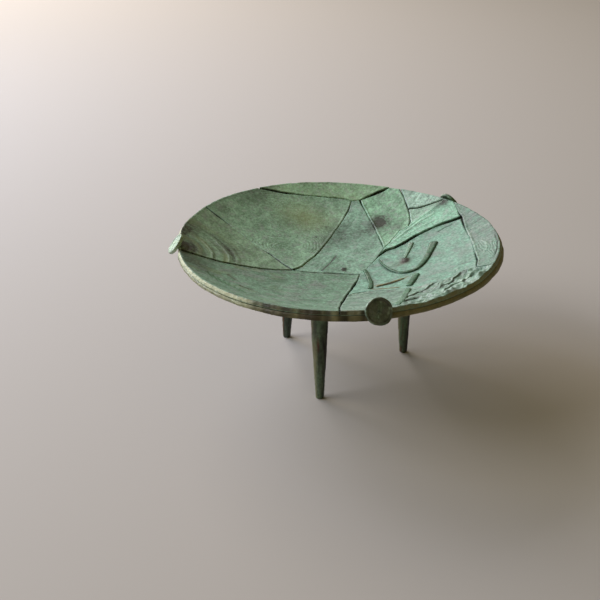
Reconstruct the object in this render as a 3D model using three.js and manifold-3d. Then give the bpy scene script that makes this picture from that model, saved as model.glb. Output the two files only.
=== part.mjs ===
// A shallow bronze bowl on three tapered legs.
//
// A dished shell carries a lining of thin cast plates that meet along open seams. Bars and
// strips are laid over the plates, and three round discs are pegged to the shell's edge.
// The legs are fitted to the underside, and each has a tenon that passes through the shell.
//
// Units are millimetres and +Z is up. The origin is on the ground, under the middle of the
// whole part. Plan coordinates are counted from the bowl's own centre, a few mm from there.
import * as THREE from "three";
import { mergeVertices } from "three/addons/utils/BufferGeometryUtils.js";
import Module from "manifold-3d";

const wasm = await Module();
wasm.setup();

// Driving dimensions
const RIM_RADIUS = 150.3;
const RIM_HEIGHT = 132.1; // the lip of the shell's inner face
const BOWL_DEPTH = 37.6; // from the lip down to the middle of the inner face
const SHELL_THICKNESS = 3;
const LIP_EXTRA = 2; // how much thicker the shell is at its edge
const HEAVY_LIP_EXTRA = 1.5; // and a further swelling at the front and at the right
const SEAM = 0.9; // the open seam between two plates
const BEDDING = 0.5; // clearance under a plate, bar or strip
const BASE_LEVEL = 2.2; // top of the plates that carry bars and strips
const DISC_THICKNESS = 4.5;
const PEG_RADIUS = 0.8;
const PEG_LENGTH = 5;
const PEG_ROOT = 1; // how far a peg reaches into its disc
const EDGE_MIDDLE = -1.5; // height of a peg on the edge, from the inner face
const SEAT_REACH = 0.9; // a seat runs as far as the edge turns away to this cosine
const FOOT_RADIUS = 3.8;
const LEG_TOP_RADIUS = 9;
const LEG_CIRCLE = 70.5; // the feet stand on this radius
const LEG_SHIFT = 2.5; // how far the circle's centre lies to the right of the bowl's
const LEG_SPLAY = 3; // each leg's top stands this much nearer the middle than its foot
const TENON_RADIUS = 4;
const TENON_STOP = 1.2; // a tenon ends this far under the inner face
const TENON_ROOT = 5; // how far a tenon reaches into its leg
const HOLE_REACH = 12; // how far a tenon's hole is cut each way, to clear the sloping shell
const BOWL_CENTRE = [-0.1, 2.7, 0]; // from the middle of the whole part
const FIT_GAP = 0.35; // clearance where two pieces meet

// How finely round and curved shapes are drawn
const PATCH_STEPS = 8; // at least this many steps each way over a plate
const RIM_STEP = 9; // degrees between the points of a plate's outer edge
const BAR_STEP = 7; // between the points of a bar
const LEG_SIDES = 20;
const LEG_RINGS = 7;
const DISC_SIDES = 40;
const PEG_SIDES = 12;
const SHELL_SIDES = 60;
const SHELL_RINGS = 9;

// The bowl's inner face is part of this sphere.
const BALL_RADIUS = (RIM_RADIUS ** 2 + BOWL_DEPTH ** 2) / (2 * BOWL_DEPTH);
const BALL_CENTRE_Z = RIM_HEIGHT - BOWL_DEPTH + BALL_RADIUS;

const radians = (degrees) => THREE.MathUtils.degToRad(degrees);

// Each disc: its radius, where on the edge it is, the azimuth and elevation that it faces, how
// far it stands above the middle of the edge, and how deep its flat seat is cut.
const WALL_SLOPE = 28; // the wall's own elevation at the edge
const DISCS = {
  left: { radius: 10.8, azimuth: -172, faces: [-171, 38], lift: 2.6, seat: 1.2 },
  front: { radius: 12, azimuth: -76.3, faces: [-76.3, WALL_SLOPE], lift: 2, seat: 0 },
  back: { radius: 12, azimuth: 42, faces: [42, WALL_SLOPE], lift: -4, seat: 0 },
};

// The hand-trimmed edge: its radius swells and dips a little on its way round.
function trimmedRadius(azimuth) {
  const a = radians(azimuth);
  const wide = 1.2 * Math.cos(a) + 1.5 * Math.cos(2 * a + 0.5);
  const narrow = 1.3 * Math.cos(3 * a - 0.85) + 0.3 * Math.cos(4 * a - 1.9);
  return RIM_RADIUS + wide + narrow;
}

// The edge with the straight cuts where discs sit.
function rimRadius(azimuth) {
  let radius = trimmedRadius(azimuth);
  for (const { azimuth: middle, seat } of Object.values(DISCS)) {
    const facing = Math.cos(radians(azimuth - middle));
    if (seat > 0 && facing > SEAT_REACH) radius = Math.min(radius, (trimmedRadius(middle) - seat) / facing);
  }
  return radius;
}

// A point of the plan on the edge.
function rim(azimuth, inset = 0) {
  const a = radians(azimuth);
  const r = rimRadius(azimuth) - inset;
  return [r * Math.cos(a), r * Math.sin(a)];
}

// Points of the plan along the edge, from one azimuth to another.
function rimArc(from, to) {
  const steps = Math.max(2, Math.round(Math.abs(to - from) / RIM_STEP));
  return Array.from({ length: steps + 1 }, (_, i) => rim(from + ((to - from) * i) / steps));
}

// A point of the plan (x, y) raised by height h along the inner face's normal.
function onSkin(x, y, h) {
  const scale = (BALL_RADIUS - h) / BALL_RADIUS;
  const down = Math.sqrt(BALL_RADIUS ** 2 - x * x - y * y);
  return new THREE.Vector3(x * scale, y * scale, BALL_CENTRE_Z - down * scale);
}

// Height of the shell's outer face: thicker towards the edge, most at the front and right.
function underside(x, y) {
  const t = Math.hypot(x, y) / RIM_RADIUS;
  const heavy = Math.max(0, -y / RIM_RADIUS) ** 3 + Math.max(0, x / RIM_RADIUS) ** 3;
  return -(SHELL_THICKNESS + LIP_EXTRA * t ** 4 + HEAVY_LIP_EXTRA * heavy);
}

function meshOf(positions, faces) {
  const geometry = new THREE.BufferGeometry();
  geometry.setAttribute("position", new THREE.Float32BufferAttribute(positions, 3));
  geometry.setIndex(faces);
  geometry.computeVertexNormals();
  return geometry;
}

// A closed slab over a grid of plan points, between two height functions of (x, y).
function slab(grid, bottom, top) {
  const rows = grid.length;
  const columns = grid[0].length;
  const positions = [];
  const faces = [];
  const count = rows * columns;
  for (const height of [bottom, top])
    for (const row of grid)
      for (const [x, y] of row) positions.push(...onSkin(x, y, height(x, y)).toArray());
  const quad = (a, b, c, d) => faces.push(a, b, c, a, c, d);
  for (let i = 0; i + 1 < rows; i++)
    for (let j = 0; j + 1 < columns; j++) {
      const a = i * columns + j;
      quad(a, a + columns, a + columns + 1, a + 1);
      quad(count + a, count + a + 1, count + a + columns + 1, count + a + columns);
    }
  const border = [];
  for (let j = 0; j < columns - 1; j++) border.push(j);
  for (let i = 0; i < rows - 1; i++) border.push(i * columns + columns - 1);
  for (let j = columns - 1; j > 0; j--) border.push((rows - 1) * columns + j);
  for (let i = rows - 1; i > 0; i--) border.push(i * columns);
  border.forEach((a, k) => {
    const b = border[(k + 1) % border.length];
    quad(a, b, count + b, count + a);
  });
  return meshOf(positions, faces);
}

// Moves a closed outline of the plan inwards, keeping its corners sharp.
function inset(outline, distance) {
  const side = (a, b) => new THREE.Vector2(a[1] - b[1], b[0] - a[0]).normalize();
  return outline.map((p, i) => {
    const before = outline[(i + outline.length - 1) % outline.length];
    const after = outline[(i + 1) % outline.length];
    const n1 = side(before, p);
    const n2 = side(p, after);
    const share = distance / (1 + n1.dot(n2));
    return [p[0] + (n1.x + n2.x) * share, p[1] + (n1.y + n2.y) * share];
  });
}

// Where each point of a path lies, as a share of the path's length.
function shares(path) {
  const lengths = path.slice(1).map((p, i) => Math.hypot(p[0] - path[i][0], p[1] - path[i][1]));
  const total = lengths.reduce((a, b) => a + b, 0);
  let sum = 0;
  return [0, ...lengths.map((length) => (sum += length) / total)];
}

// The point at share t of a path's length.
function along(path, t) {
  const at = shares(path);
  let i = at.findIndex((share) => share > t) - 1;
  if (i < 0) i = path.length - 2;
  const s = (t - at[i]) / (at[i + 1] - at[i]);
  return path[i].map((v, k) => v + (path[i + 1][k] - v) * s);
}

// Shares that meet every corner of two facing paths, with no step over the longest allowed.
function stations(path, facing) {
  const marks = [...shares(path), ...shares(facing).map((t) => 1 - t)].sort((a, b) => a - b);
  const result = [0];
  for (const mark of marks) {
    const last = result[result.length - 1];
    if (mark - last < 0.002) continue;
    const parts = Math.ceil((mark - last) * PATCH_STEPS);
    for (let i = 1; i <= parts; i++) result.push(last + ((mark - last) * i) / parts);
  }
  result[result.length - 1] = 1;
  return result;
}

// A grid of plan points that fills an outline of four sides, each a path from one corner to
// the next, taken anticlockwise. Inner points are blended from the sides (a Coons patch).
function patch(sides) {
  const outline = sides.flatMap((s) => s.slice(0, -1));
  const moved = inset(outline, SEAM / 2);
  let at = 0;
  const [south, east, north, west] = sides.map((s) => {
    const path = s.map((_, i) => moved[(at + i) % moved.length]);
    at += s.length - 1;
    return path;
  });
  const [sw, se, ne, nw] = [south[0], east[0], north[0], west[0]];
  return stations(west, east).reverse().map((t) => {
    const v = 1 - t;
    const [w, e] = [along(west, t), along(east, v)];
    return stations(south, north).map((u) => {
      const [s, n] = [along(south, u), along(north, 1 - u)];
      return [0, 1].map((k) => {
        const sides = (1 - v) * s[k] + v * n[k] + (1 - u) * w[k] + u * e[k];
        const low = (1 - u) * sw[k] + u * se[k];
        const high = (1 - u) * nw[k] + u * ne[k];
        return sides - (1 - v) * low - v * high;
      });
    });
  });
}

function solidOf(geometry) {
  const bare = geometry.clone().deleteAttribute("normal").deleteAttribute("uv");
  const merged = mergeVertices(bare, 1e-4);
  return new wasm.Manifold(
    new wasm.Mesh({
      numProp: 3,
      vertProperties: merged.attributes.position.array,
      triVerts: new Uint32Array(merged.index.array),
    }),
  );
}

function geometryOf(solid) {
  const mesh = solid.getMesh();
  return meshOf(Array.from(mesh.vertProperties), Array.from(mesh.triVerts));
}

// Bronze with a green crust on the lining, and a browner one on the outside.
function bronze(colour) {
  return new THREE.MeshStandardMaterial({ color: colour, roughness: 0.75, metalness: 0.35 });
}
const LINING = "#86b39a";
const OUTSIDE = "#56664f";
const DARK = "#3d4436";

const bowl = new THREE.Group();

function add(name, geometry, colour) {
  const mesh = new THREE.Mesh(geometry, bronze(colour));
  mesh.name = name;
  bowl.add(mesh);
  return mesh;
}

// Where each leg stands: its azimuth, and how far its foot strays sideways.
const LEGS = { front: [-104.2, 2], right: [17.5, 0], back_left: [137.5, 0] };

function legPlaces([azimuth, stray]) {
  const a = radians(azimuth);
  const foot = new THREE.Vector2(LEG_CIRCLE * Math.cos(a), LEG_CIRCLE * Math.sin(a));
  const top = foot.clone().multiplyScalar(1 - LEG_SPLAY / LEG_CIRCLE);
  foot.add(new THREE.Vector2(-Math.sin(a), Math.cos(a)).multiplyScalar(stray));
  foot.x += LEG_SHIFT;
  top.x += LEG_SHIFT;
  return { foot, top };
}

// A round tenon, upright through the shell above a leg.
function tenon(top, radius, low, high) {
  const length = high - low;
  return new THREE.CylinderGeometry(radius, radius, length, LEG_SIDES)
    .rotateX(Math.PI / 2)
    .translate(top.x, top.y, low + length / 2);
}

function leg(place) {
  const { foot, top } = legPlaces(place);
  const around = LEG_SIDES;
  const rings = LEG_RINGS;
  const positions = [];
  const faces = [];
  for (let k = 0; k <= rings; k++) {
    const t = k / rings;
    // The taper swells slightly half way up.
    const radius = FOOT_RADIUS + (LEG_TOP_RADIUS - FOOT_RADIUS) * (t + 0.25 * t * (1 - t));
    for (let i = 0; i < around; i++) {
      const a = (i / around) * 2 * Math.PI;
      const x = foot.x + (top.x - foot.x) * t + radius * Math.cos(a);
      const y = foot.y + (top.y - foot.y) * t + radius * Math.sin(a);
      const roof = onSkin(x, y, underside(x, y) - FIT_GAP).z;
      positions.push(x, y, roof * t);
    }
  }
  const topCentre = onSkin(top.x, top.y, underside(top.x, top.y) - FIT_GAP);
  positions.push(foot.x, foot.y, 0, top.x, top.y, topCentre.z);
  const low = (rings + 1) * around;
  for (let i = 0; i < around; i++) {
    const j = (i + 1) % around;
    faces.push(low, j, i, low + 1, rings * around + i, rings * around + j);
    for (let k = 0; k < rings; k++) {
      const a = k * around + i;
      const b = k * around + j;
      faces.push(a, b, b + around, a, b + around, a + around);
    }
  }
  const inner = onSkin(top.x, top.y, -TENON_STOP).z;
  const stem = tenon(top, TENON_RADIUS, topCentre.z - TENON_ROOT, inner);
  return geometryOf(solidOf(meshOf(positions, faces)).add(solidOf(stem)));
}

// Places a shape at the shell's edge. Its own Y turns to the way the disc faces. It then moves
// out along that, and up by the lift, square to that.
function atEdge(geometry, { azimuth, faces }, out, lift = 0) {
  const [round, rise] = faces.map(radians);
  const level = new THREE.Vector3(Math.cos(round), Math.sin(round), 0);
  const upright = new THREE.Vector3(0, 0, 1);
  const outwards = level.clone().multiplyScalar(Math.cos(rise)).addScaledVector(upright, Math.sin(rise));
  const steep = upright.multiplyScalar(Math.cos(rise)).addScaledVector(level, -Math.sin(rise));
  const turn = new THREE.Quaternion().setFromUnitVectors(new THREE.Vector3(0, 1, 0), outwards);
  const middle = onSkin(...rim(azimuth), EDGE_MIDDLE);
  const place = middle.addScaledVector(outwards, out).addScaledVector(steep, lift);
  return geometry.applyQuaternion(turn).translate(...place.toArray());
}

// A disc with a bevelled edge, and the peg that holds it.
function disc(placing) {
  const { radius, lift, seat } = placing;
  const bevel = 0.6;
  const half = DISC_THICKNESS / 2;
  const profile = [
    [0, -half],
    [radius - bevel, -half],
    [radius, bevel - half],
    [radius, half - bevel],
    [radius - bevel, half],
    [0, half],
  ].map((p) => new THREE.Vector2(...p));
  const clear = FIT_GAP + seat;
  const face = atEdge(new THREE.LatheGeometry(profile, DISC_SIDES), placing, half + clear, lift);
  const length = PEG_LENGTH + PEG_ROOT;
  const stem = new THREE.CylinderGeometry(PEG_RADIUS, PEG_RADIUS, length, PEG_SIDES);
  const peg = atEdge(stem, placing, clear + PEG_ROOT - length / 2);
  return geometryOf(solidOf(face).add(solidOf(peg)));
}

function shell() {
  const around = SHELL_SIDES;
  const rings = SHELL_RINGS;
  const positions = [];
  const faces = [];
  const levels = [underside, () => 0];
  for (const level of levels) {
    positions.push(...onSkin(0, 0, level(0, 0)).toArray());
    for (let k = 1; k <= rings; k++)
      for (let i = 0; i < around; i++) {
        const azimuth = (i / around) * 360;
        const [x, y] = rim(azimuth).map((v) => (v * k) / rings);
        positions.push(...onSkin(x, y, level(x, y)).toArray());
      }
  }
  const upper = 1 + rings * around;
  const vertex = (side, k, i) => side * upper + 1 + (k - 1) * around + (i % around);
  for (let i = 0; i < around; i++) {
    faces.push(0, vertex(0, 1, i + 1), vertex(0, 1, i));
    faces.push(upper, vertex(1, 1, i), vertex(1, 1, i + 1));
    for (let k = 1; k < rings; k++) {
      const [a, b, c, d] = [[k, i], [k + 1, i], [k + 1, i + 1], [k, i + 1]];
      faces.push(vertex(0, ...a), vertex(0, ...c), vertex(0, ...b));
      faces.push(vertex(0, ...a), vertex(0, ...d), vertex(0, ...c));
      faces.push(vertex(1, ...a), vertex(1, ...b), vertex(1, ...c));
      faces.push(vertex(1, ...a), vertex(1, ...c), vertex(1, ...d));
    }
    const [p, q] = [vertex(0, rings, i), vertex(0, rings, i + 1)];
    const [r, s] = [vertex(1, rings, i), vertex(1, rings, i + 1)];
    faces.push(p, q, s, p, s, r);
  }
  let solid = solidOf(meshOf(positions, faces));
  for (const place of Object.values(LEGS)) {
    const { top } = legPlaces(place);
    const middle = onSkin(top.x, top.y, -SHELL_THICKNESS / 2).z;
    const hole = tenon(top, TENON_RADIUS + FIT_GAP, middle - HOLE_REACH, middle + HOLE_REACH);
    solid = solid.subtract(solidOf(hole));
  }
  for (const placing of Object.values(DISCS)) {
    const radius = PEG_RADIUS + FIT_GAP;
    const drill = new THREE.CylinderGeometry(radius, radius, PEG_LENGTH * 2, PEG_SIDES);
    solid = solid.subtract(solidOf(atEdge(drill, placing, 0)));
  }
  return geometryOf(solid);
}

// Corners and seams of the lining, on the plan.
const LEFT = -168; // azimuths where seams reach the edge
const FRONT = -88.5;
const SEAT = -70;
const RIGHT = -22;
const TAIL = 38;
const NOOK = 42.5;
const SHARD = 63;
const NOTCH = 67.5;
const BACK = 123.5;
const FAN = 152;
const HUB = [-41, -1];
const HEEL = [23, -4];
const PEAK = [21, 124];
const WAIST = [48, 44];
const CHIN = [42, 31];
const BEND = [73, 74];
const CROOK = [74, 101];
const SHOULDER = [125, 65];
const HIP = [128, -47];
const TOE = [10, -60];
const KNEE = [66, -54];

const reversed = (path) => [...path].reverse();
const SEAMS = {
  leftSeam: [rim(LEFT), [-95, -17], HUB],
  middleSeam: [HUB, [-9, -3], HEEL],
  fanSeam: [HUB, [-66, 25], [-105, 55], rim(FAN)],
  grainSeam: [HUB, [-21, 33], [-4, 73], [11, 106], PEAK],
  backSeam: [PEAK, [-4, 127.5], [-45, 127], rim(BACK)],
  notchSeam: [PEAK, rim(NOTCH)],
  squareSeam: [PEAK, [33, 99], WAIST],
  chinSeam: [WAIST, CHIN],
  neckSeam: [CHIN, [33, 12], HEEL],
  foldSeam: [WAIST, [58, 56], BEND],
  wedgeSeam: [BEND, [87, 86], rim(NOOK)],
  shardSeam: [CROOK, [72, 116], rim(SHARD)],
  crookSeam: [BEND, [75, 88], CROOK],
  nookSeam: [CROOK, [92, 100], rim(NOOK)],
  bandSeam: [CHIN, [58, 41], [77, 54], [98, 63], SHOULDER],
  tailSeam: [SHOULDER, [121, 79], rim(TAIL)],
  rightSeam: [HIP, [130, -13], [129, 26], SHOULDER],
  hipSeam: [HIP, rim(RIGHT)],
  raggedSeam: [KNEE, [90, -54], [110, -50], HIP],
  toeSeam: [TOE, [29, -48], [46, -51], KNEE],
  heelSeam: [TOE, [15, -41], [20, -23], HEEL],
  stepSeam: [rim(FRONT), [5, -109], TOE],
  seatSeam: [rim(SEAT), [60, -90], KNEE],
};
const S = SEAMS;

// Each plate: its top level, and its four sides taken anticlockwise.
const PLATES = {
  front_left_plate: [3.2, [
    rimArc(-132, FRONT), [...S.stepSeam.slice(0, -1), ...S.heelSeam],
    reversed([...S.leftSeam.slice(0, -1), ...S.middleSeam]), rimArc(LEFT, -132),
  ]],
  ring_plate: [3.8, [S.leftSeam, S.fanSeam, rimArc(FAN, 172), rimArc(172, 360 + LEFT)]],
  grain_plate: [3, [S.grainSeam, S.backSeam, rimArc(BACK, FAN), reversed(S.fanSeam)]],
  back_plate: [4.2, [reversed(S.backSeam), S.notchSeam, rimArc(NOTCH, 95), rimArc(95, BACK)]],
  square_plate: [3, [
    S.foldSeam, [...S.crookSeam.slice(0, -1), ...S.shardSeam],
    [rim(SHARD), ...reversed(S.notchSeam)], S.squareSeam,
  ]],
  centre_plate: [BASE_LEVEL, [
    S.middleSeam, reversed([...S.chinSeam.slice(0, -1), ...S.neckSeam]),
    reversed(S.squareSeam), reversed(S.grainSeam),
  ]],
  shard_plate: [3.8, [
    S.nookSeam, rimArc(NOOK, 53), rimArc(53, SHARD), reversed(S.shardSeam),
  ]],
  wedge_plate: [3, [
    S.wedgeSeam, [rim(NOOK), S.nookSeam[1]], [S.nookSeam[1], CROOK], reversed(S.crookSeam),
  ]],
  band_plate: [4.4, [
    S.bandSeam, S.tailSeam, [rim(TAIL), rim(NOOK), ...reversed(S.wedgeSeam).slice(1, -1),
      ...reversed(S.foldSeam)], S.chinSeam,
  ]],
  hook_plate: [BASE_LEVEL, [
    [...S.toeSeam.slice(0, -1), ...S.raggedSeam], S.rightSeam, reversed(S.bandSeam),
    [...S.neckSeam.slice(0, -1), ...reversed(S.heelSeam)],
  ]],
  right_plate: [3.2, [
    S.hipSeam, rimArc(RIGHT, 8), rimArc(8, TAIL),
    reversed([...S.rightSeam.slice(0, -1), ...S.tailSeam]),
  ]],
  ragged_plate: [BASE_LEVEL, [
    rimArc(SEAT, RIGHT), reversed(S.hipSeam), reversed(S.raggedSeam), reversed(S.seatSeam),
  ]],
  front_plate: [BASE_LEVEL, [
    rimArc(FRONT, SEAT), S.seatSeam, reversed(S.toeSeam), reversed(S.stepSeam),
  ]],
};
for (const [name, [level, sides]] of Object.entries(PLATES))
  add(name, slab(patch(sides), () => BEDDING, () => level), LINING);

// A bar or strip along a path of the plan, with a width at each end and a height.
function bar(path, startWidth, endWidth, height, base = BASE_LEVEL) {
  const curve = new THREE.CatmullRomCurve3(path.map(([x, y]) => new THREE.Vector3(x, y, 0)));
  const steps = Math.max(3, Math.round(curve.getLength() / BAR_STEP));
  const grid = [[], [], []];
  for (let i = 0; i <= steps; i++) {
    const t = i / steps;
    const p = curve.getPointAt(t);
    const d = curve.getTangentAt(t);
    const half = (startWidth + (endWidth - startWidth) * t) / 2;
    for (const k of [0, 1, 2])
      grid[k].push([p.x - d.y * half * (k - 1), p.y + d.x * half * (k - 1)]);
  }
  return slab(grid, () => base + BEDDING, () => base + BEDDING + height);
}

// Bars and strips laid over the lining: path, widths at the two ends, and height.
const BARS = {
  hook_bar: [[[97, 37], [91, 24], [84, 6], [76, -6], [62, -11], [50, -3], [44, 14]], 5, 2.4, 2.6],
  tick_bar: [[[74, 45], [70, 33], [67, 20]], 3, 2.4, 1.4],
  heel_bar: [[[30, 3], [32.5, -12], [33, -28], [32, -43]], 3.4, 4.2, 2.2],
  brown_bar: [[[37.5, -37], [50, -32], [64, -25]], 3, 3, 1.6],
  stub_bar: [[[74, -22], [71, -34], [67, -47]], 4.6, 4.6, 2.6],
  rim_bar: [[[62, -62], [58, -88], [53, -116]], 4.6, 5.6, 1.8],
};
for (const [name, [path, start, end, height]] of Object.entries(BARS))
  add(name, bar(path, start, end, height), OUTSIDE);

for (const [name, placing] of Object.entries(DISCS)) add(`${name}_disc`, disc(placing), DARK);
for (const [name, place] of Object.entries(LEGS)) add(`${name}_leg`, leg(place), DARK);
add("shell", shell(), OUTSIDE);

bowl.position.set(...BOWL_CENTRE);

export default bowl;
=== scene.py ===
"""A shallow bronze bowl on three tapered legs, with the look of every piece of it.

The bowl is a dished shell lined with thin cast plates. Bars are laid on the plates, three
coin-like discs are fixed to the edge, and the green patina lies over all of it.

Lengths in this file are millimetres, and they become metres where a mesh is made. A plan
point (x, y) is counted from the bowl's own centre, and h is the height above the bowl's
inner face, measured along that face's normal.
"""

import math

import bpy
import numpy as np
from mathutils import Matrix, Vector


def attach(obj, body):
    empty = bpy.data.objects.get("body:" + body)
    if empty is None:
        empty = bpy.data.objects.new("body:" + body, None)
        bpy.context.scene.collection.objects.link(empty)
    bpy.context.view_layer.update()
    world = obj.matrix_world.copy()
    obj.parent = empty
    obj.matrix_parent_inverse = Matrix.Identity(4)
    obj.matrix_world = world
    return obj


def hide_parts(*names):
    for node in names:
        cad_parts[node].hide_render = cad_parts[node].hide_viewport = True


bl_info = {
    "name": "Footed Bronze Bowl",
    "version": (1, 0, 0),
    "blender": (4, 5, 0),
    "location": "View3D > Sidebar > Bronze Bowl",
    "description": "Builds a patinated bronze bowl with a lining of cast plates",
    "category": "Add Mesh",
}

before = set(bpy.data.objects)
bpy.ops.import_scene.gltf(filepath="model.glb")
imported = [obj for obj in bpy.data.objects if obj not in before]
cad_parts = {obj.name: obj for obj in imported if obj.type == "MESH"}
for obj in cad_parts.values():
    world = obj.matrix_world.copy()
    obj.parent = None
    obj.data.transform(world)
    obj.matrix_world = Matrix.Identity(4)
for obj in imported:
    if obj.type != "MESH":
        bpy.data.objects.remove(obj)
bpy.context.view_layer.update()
MM = 0.001

# The bowl's inner face is part of a sphere.
BOWL_CENTRE = (-0.1, 2.7)
RIM_RADIUS = 150.3
RIM_HEIGHT = 132.1
BOWL_DEPTH = 37.6
BALL_RADIUS = (RIM_RADIUS**2 + BOWL_DEPTH**2) / (2 * BOWL_DEPTH)
BALL_CENTRE_Z = RIM_HEIGHT - BOWL_DEPTH + BALL_RADIUS

# The shell's wall: thickness in the middle, and how much more it has at the edge.
SHELL_THICKNESS = 3
LIP_EXTRA = 2
HEAVY_LIP_EXTRA = 1.5
EDGE_MIDDLE = -1.5
# Near the edge, plates and shell both turn down between these shares of the radius.
TURN_FROM, TURN_TO = 0.965, 0.985
PLATE_BEDDING = 0.25
PLATE_TURN = 1.7
SHELL_TURN = 1.8
SHARP_ANGLE = 50


# ---------------------------------------------------------------- settings


class BowlSettings(bpy.types.PropertyGroup):
    """Sizes of the bowl's relief."""

    mesh_pitch: bpy.props.FloatProperty(
        name="Mesh Pitch",
        description="Distance between the points of a plate's surface",
        default=0.7 * MM,
        unit="LENGTH",
    )
    relief: bpy.props.FloatProperty(
        name="Relief",
        description="Strength of the cast relief on the lining",
        default=1.0,
        subtype="FACTOR",
    )
    disc_size: bpy.props.FloatProperty(
        name="Disc Size",
        description="Size of the coin-like discs on the edge",
        default=1.0,
        subtype="FACTOR",
    )
    disc_thickness: bpy.props.FloatProperty(
        name="Disc Thickness",
        description="Thickness of the discs at their rim",
        default=3.4 * MM,
        unit="LENGTH",
    )
    foot_radius: bpy.props.FloatProperty(
        name="Foot Radius",
        description="Radius of a leg where it stands",
        default=3.8 * MM,
        unit="LENGTH",
    )
    leg_top_radius: bpy.props.FloatProperty(
        name="Leg Top Radius",
        description="Radius of a leg under the shell",
        default=8.8 * MM,
        unit="LENGTH",
    )


class StageSettings(bpy.types.PropertyGroup):
    """Floor, camera and lights."""

    lens: bpy.props.FloatProperty(
        name="Lens",
        description="Focal length of the camera on a 36 mm sensor",
        default=63.0,
        unit="CAMERA",
    )
    light_power: bpy.props.FloatProperty(
        name="Light Power",
        description="Power that each soft light takes its own part of",
        default=108.0,
        unit="POWER",
    )
    fill: bpy.props.FloatProperty(
        name="Fill",
        description="Strength of the warm light that the room sends back",
        default=0.16,
        subtype="FACTOR",
    )
    floor_colour: bpy.props.FloatVectorProperty(
        name="Floor Colour",
        description="Linear colour of the paper the bowl stands on",
        default=(0.52, 0.49, 0.46),
        subtype="COLOR",
    )


# ---------------------------------------------------------------- arrays


def linear(code):
    """An sRGB hex colour as linear red, green and blue."""
    values = [int(code[k : k + 2], 16) / 255 for k in (1, 3, 5)]
    return [v / 12.92 if v <= 0.04045 else ((v + 0.055) / 1.055) ** 2.4 for v in values]


def smooth(low, high, value):
    """Rises from 0 at low to 1 at high with the smoothstep cubic."""
    t = np.clip((value - low) / (high - low), 0, 1)
    return t * t * (3 - 2 * t)


def bell(distance, width):
    """1 at no distance, falling off on both sides as a bell of the given half width."""
    return np.exp(-((distance / width) ** 2))


# Large numbers that scramble a lattice point, and the 32 bits that are kept.
HASH_X, HASH_Y, HASH_SEED, HASH_MIX = 374761393, 668265263, 974634777, 1274126177
BITS = 0xFFFFFFFF


def lattice(i, j, seed):
    """A fixed random value from -1 to 1 for each pair of whole numbers."""
    n = (i * HASH_X + j * HASH_Y + seed * HASH_SEED) & BITS
    n = ((n ^ (n >> 13)) * HASH_MIX) & BITS
    return ((n ^ (n >> 16)) & 0xFFFF) / 32767.5 - 1


def noise(x, y, size, seed, octaves=1):
    """Smooth random relief from -1 to 1: lattice values, size apart, blended with the
    smoothstep cubic. Each further octave has half the size and half the strength."""
    total, weight, weights = 0.0, 1.0, 0.0
    for octave in range(octaves):
        u = np.asarray(x) / size * 2**octave + 17.3 * octave
        v = np.asarray(y) / size * 2**octave - 9.1 * octave
        i, j = np.floor(u).astype(np.int64), np.floor(v).astype(np.int64)
        s, t = smooth(0, 1, u - i), smooth(0, 1, v - j)
        low = lattice(i, j, seed) * (1 - s) + lattice(i + 1, j, seed) * s
        high = lattice(i, j + 1, seed) * (1 - s) + lattice(i + 1, j + 1, seed) * s
        total = total + weight * (low * (1 - t) + high * t)
        weights += weight
        weight /= 2
    return total / weights


def polar(x, y):
    """Radius, and azimuth in degrees."""
    return np.hypot(x, y), np.degrees(np.arctan2(y, x))


def on_skin(x, y, h):
    """Plan points lifted by h: a point of the inner sphere moves h towards its centre."""
    share = (BALL_RADIUS - h) / BALL_RADIUS
    down = np.sqrt(BALL_RADIUS**2 - x**2 - y**2)
    return np.stack(
        [
            BOWL_CENTRE[0] + x * share,
            BOWL_CENTRE[1] + y * share,
            BALL_CENTRE_Z - down * share,
        ],
        axis=-1,
    )


SEAT_REACH = 0.9  # a seat runs as far as the edge turns away to this cosine

# Each disc: its radius, where on the edge it is, the azimuth and elevation that it faces, how
# far it stands above the middle of the edge, how far off the edge, and how deep its flat seat
# is cut into the edge.
DISCS = {
    "left_disc": (10.4, -172, (-171, 38), 2.6, 1.9, 1.2),
    "front_disc": (11.7, -76.3, (-76.3, 28), 2.0, 0.4, 0.0),
    "back_disc": (11.6, 42, (42, 28), -4.0, 0.4, 0.0),
}


def trimmed_radius(azimuth):
    """Radius of the edge at an azimuth in degrees: a circle with four low swells round it."""
    a = np.radians(azimuth)
    wide = 1.2 * np.cos(a) + 1.5 * np.cos(2 * a + 0.5)
    return RIM_RADIUS + wide + 1.3 * np.cos(3 * a - 0.85) + 0.3 * np.cos(4 * a - 1.9)


def rim_radius(azimuth):
    """The edge with the straight cut of each disc's seat, and with the small waves and nicks
    of hand trimming."""
    radius = trimmed_radius(azimuth)
    for _, middle, _, _, _, seat in DISCS.values():
        facing = np.cos(np.radians(azimuth - middle))
        cut = (trimmed_radius(middle) - seat) / np.maximum(facing, SEAT_REACH)
        on_seat = (seat > 0) & (facing > SEAT_REACH)
        radius = np.where(on_seat, np.minimum(radius, cut), radius)
    a = np.radians(azimuth)
    x, y = RIM_RADIUS * np.cos(a), RIM_RADIUS * np.sin(a)
    rough = 0.45 * noise(x, y, 24, 3) + 0.3 * noise(x, y, 9, 4) + 0.2 * noise(x, y, 3, 5)
    return radius - 0.5 + rough


def rim_point(azimuth):
    a = math.radians(azimuth)
    r = float(rim_radius(azimuth))
    return r * math.cos(a), r * math.sin(a)


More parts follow.
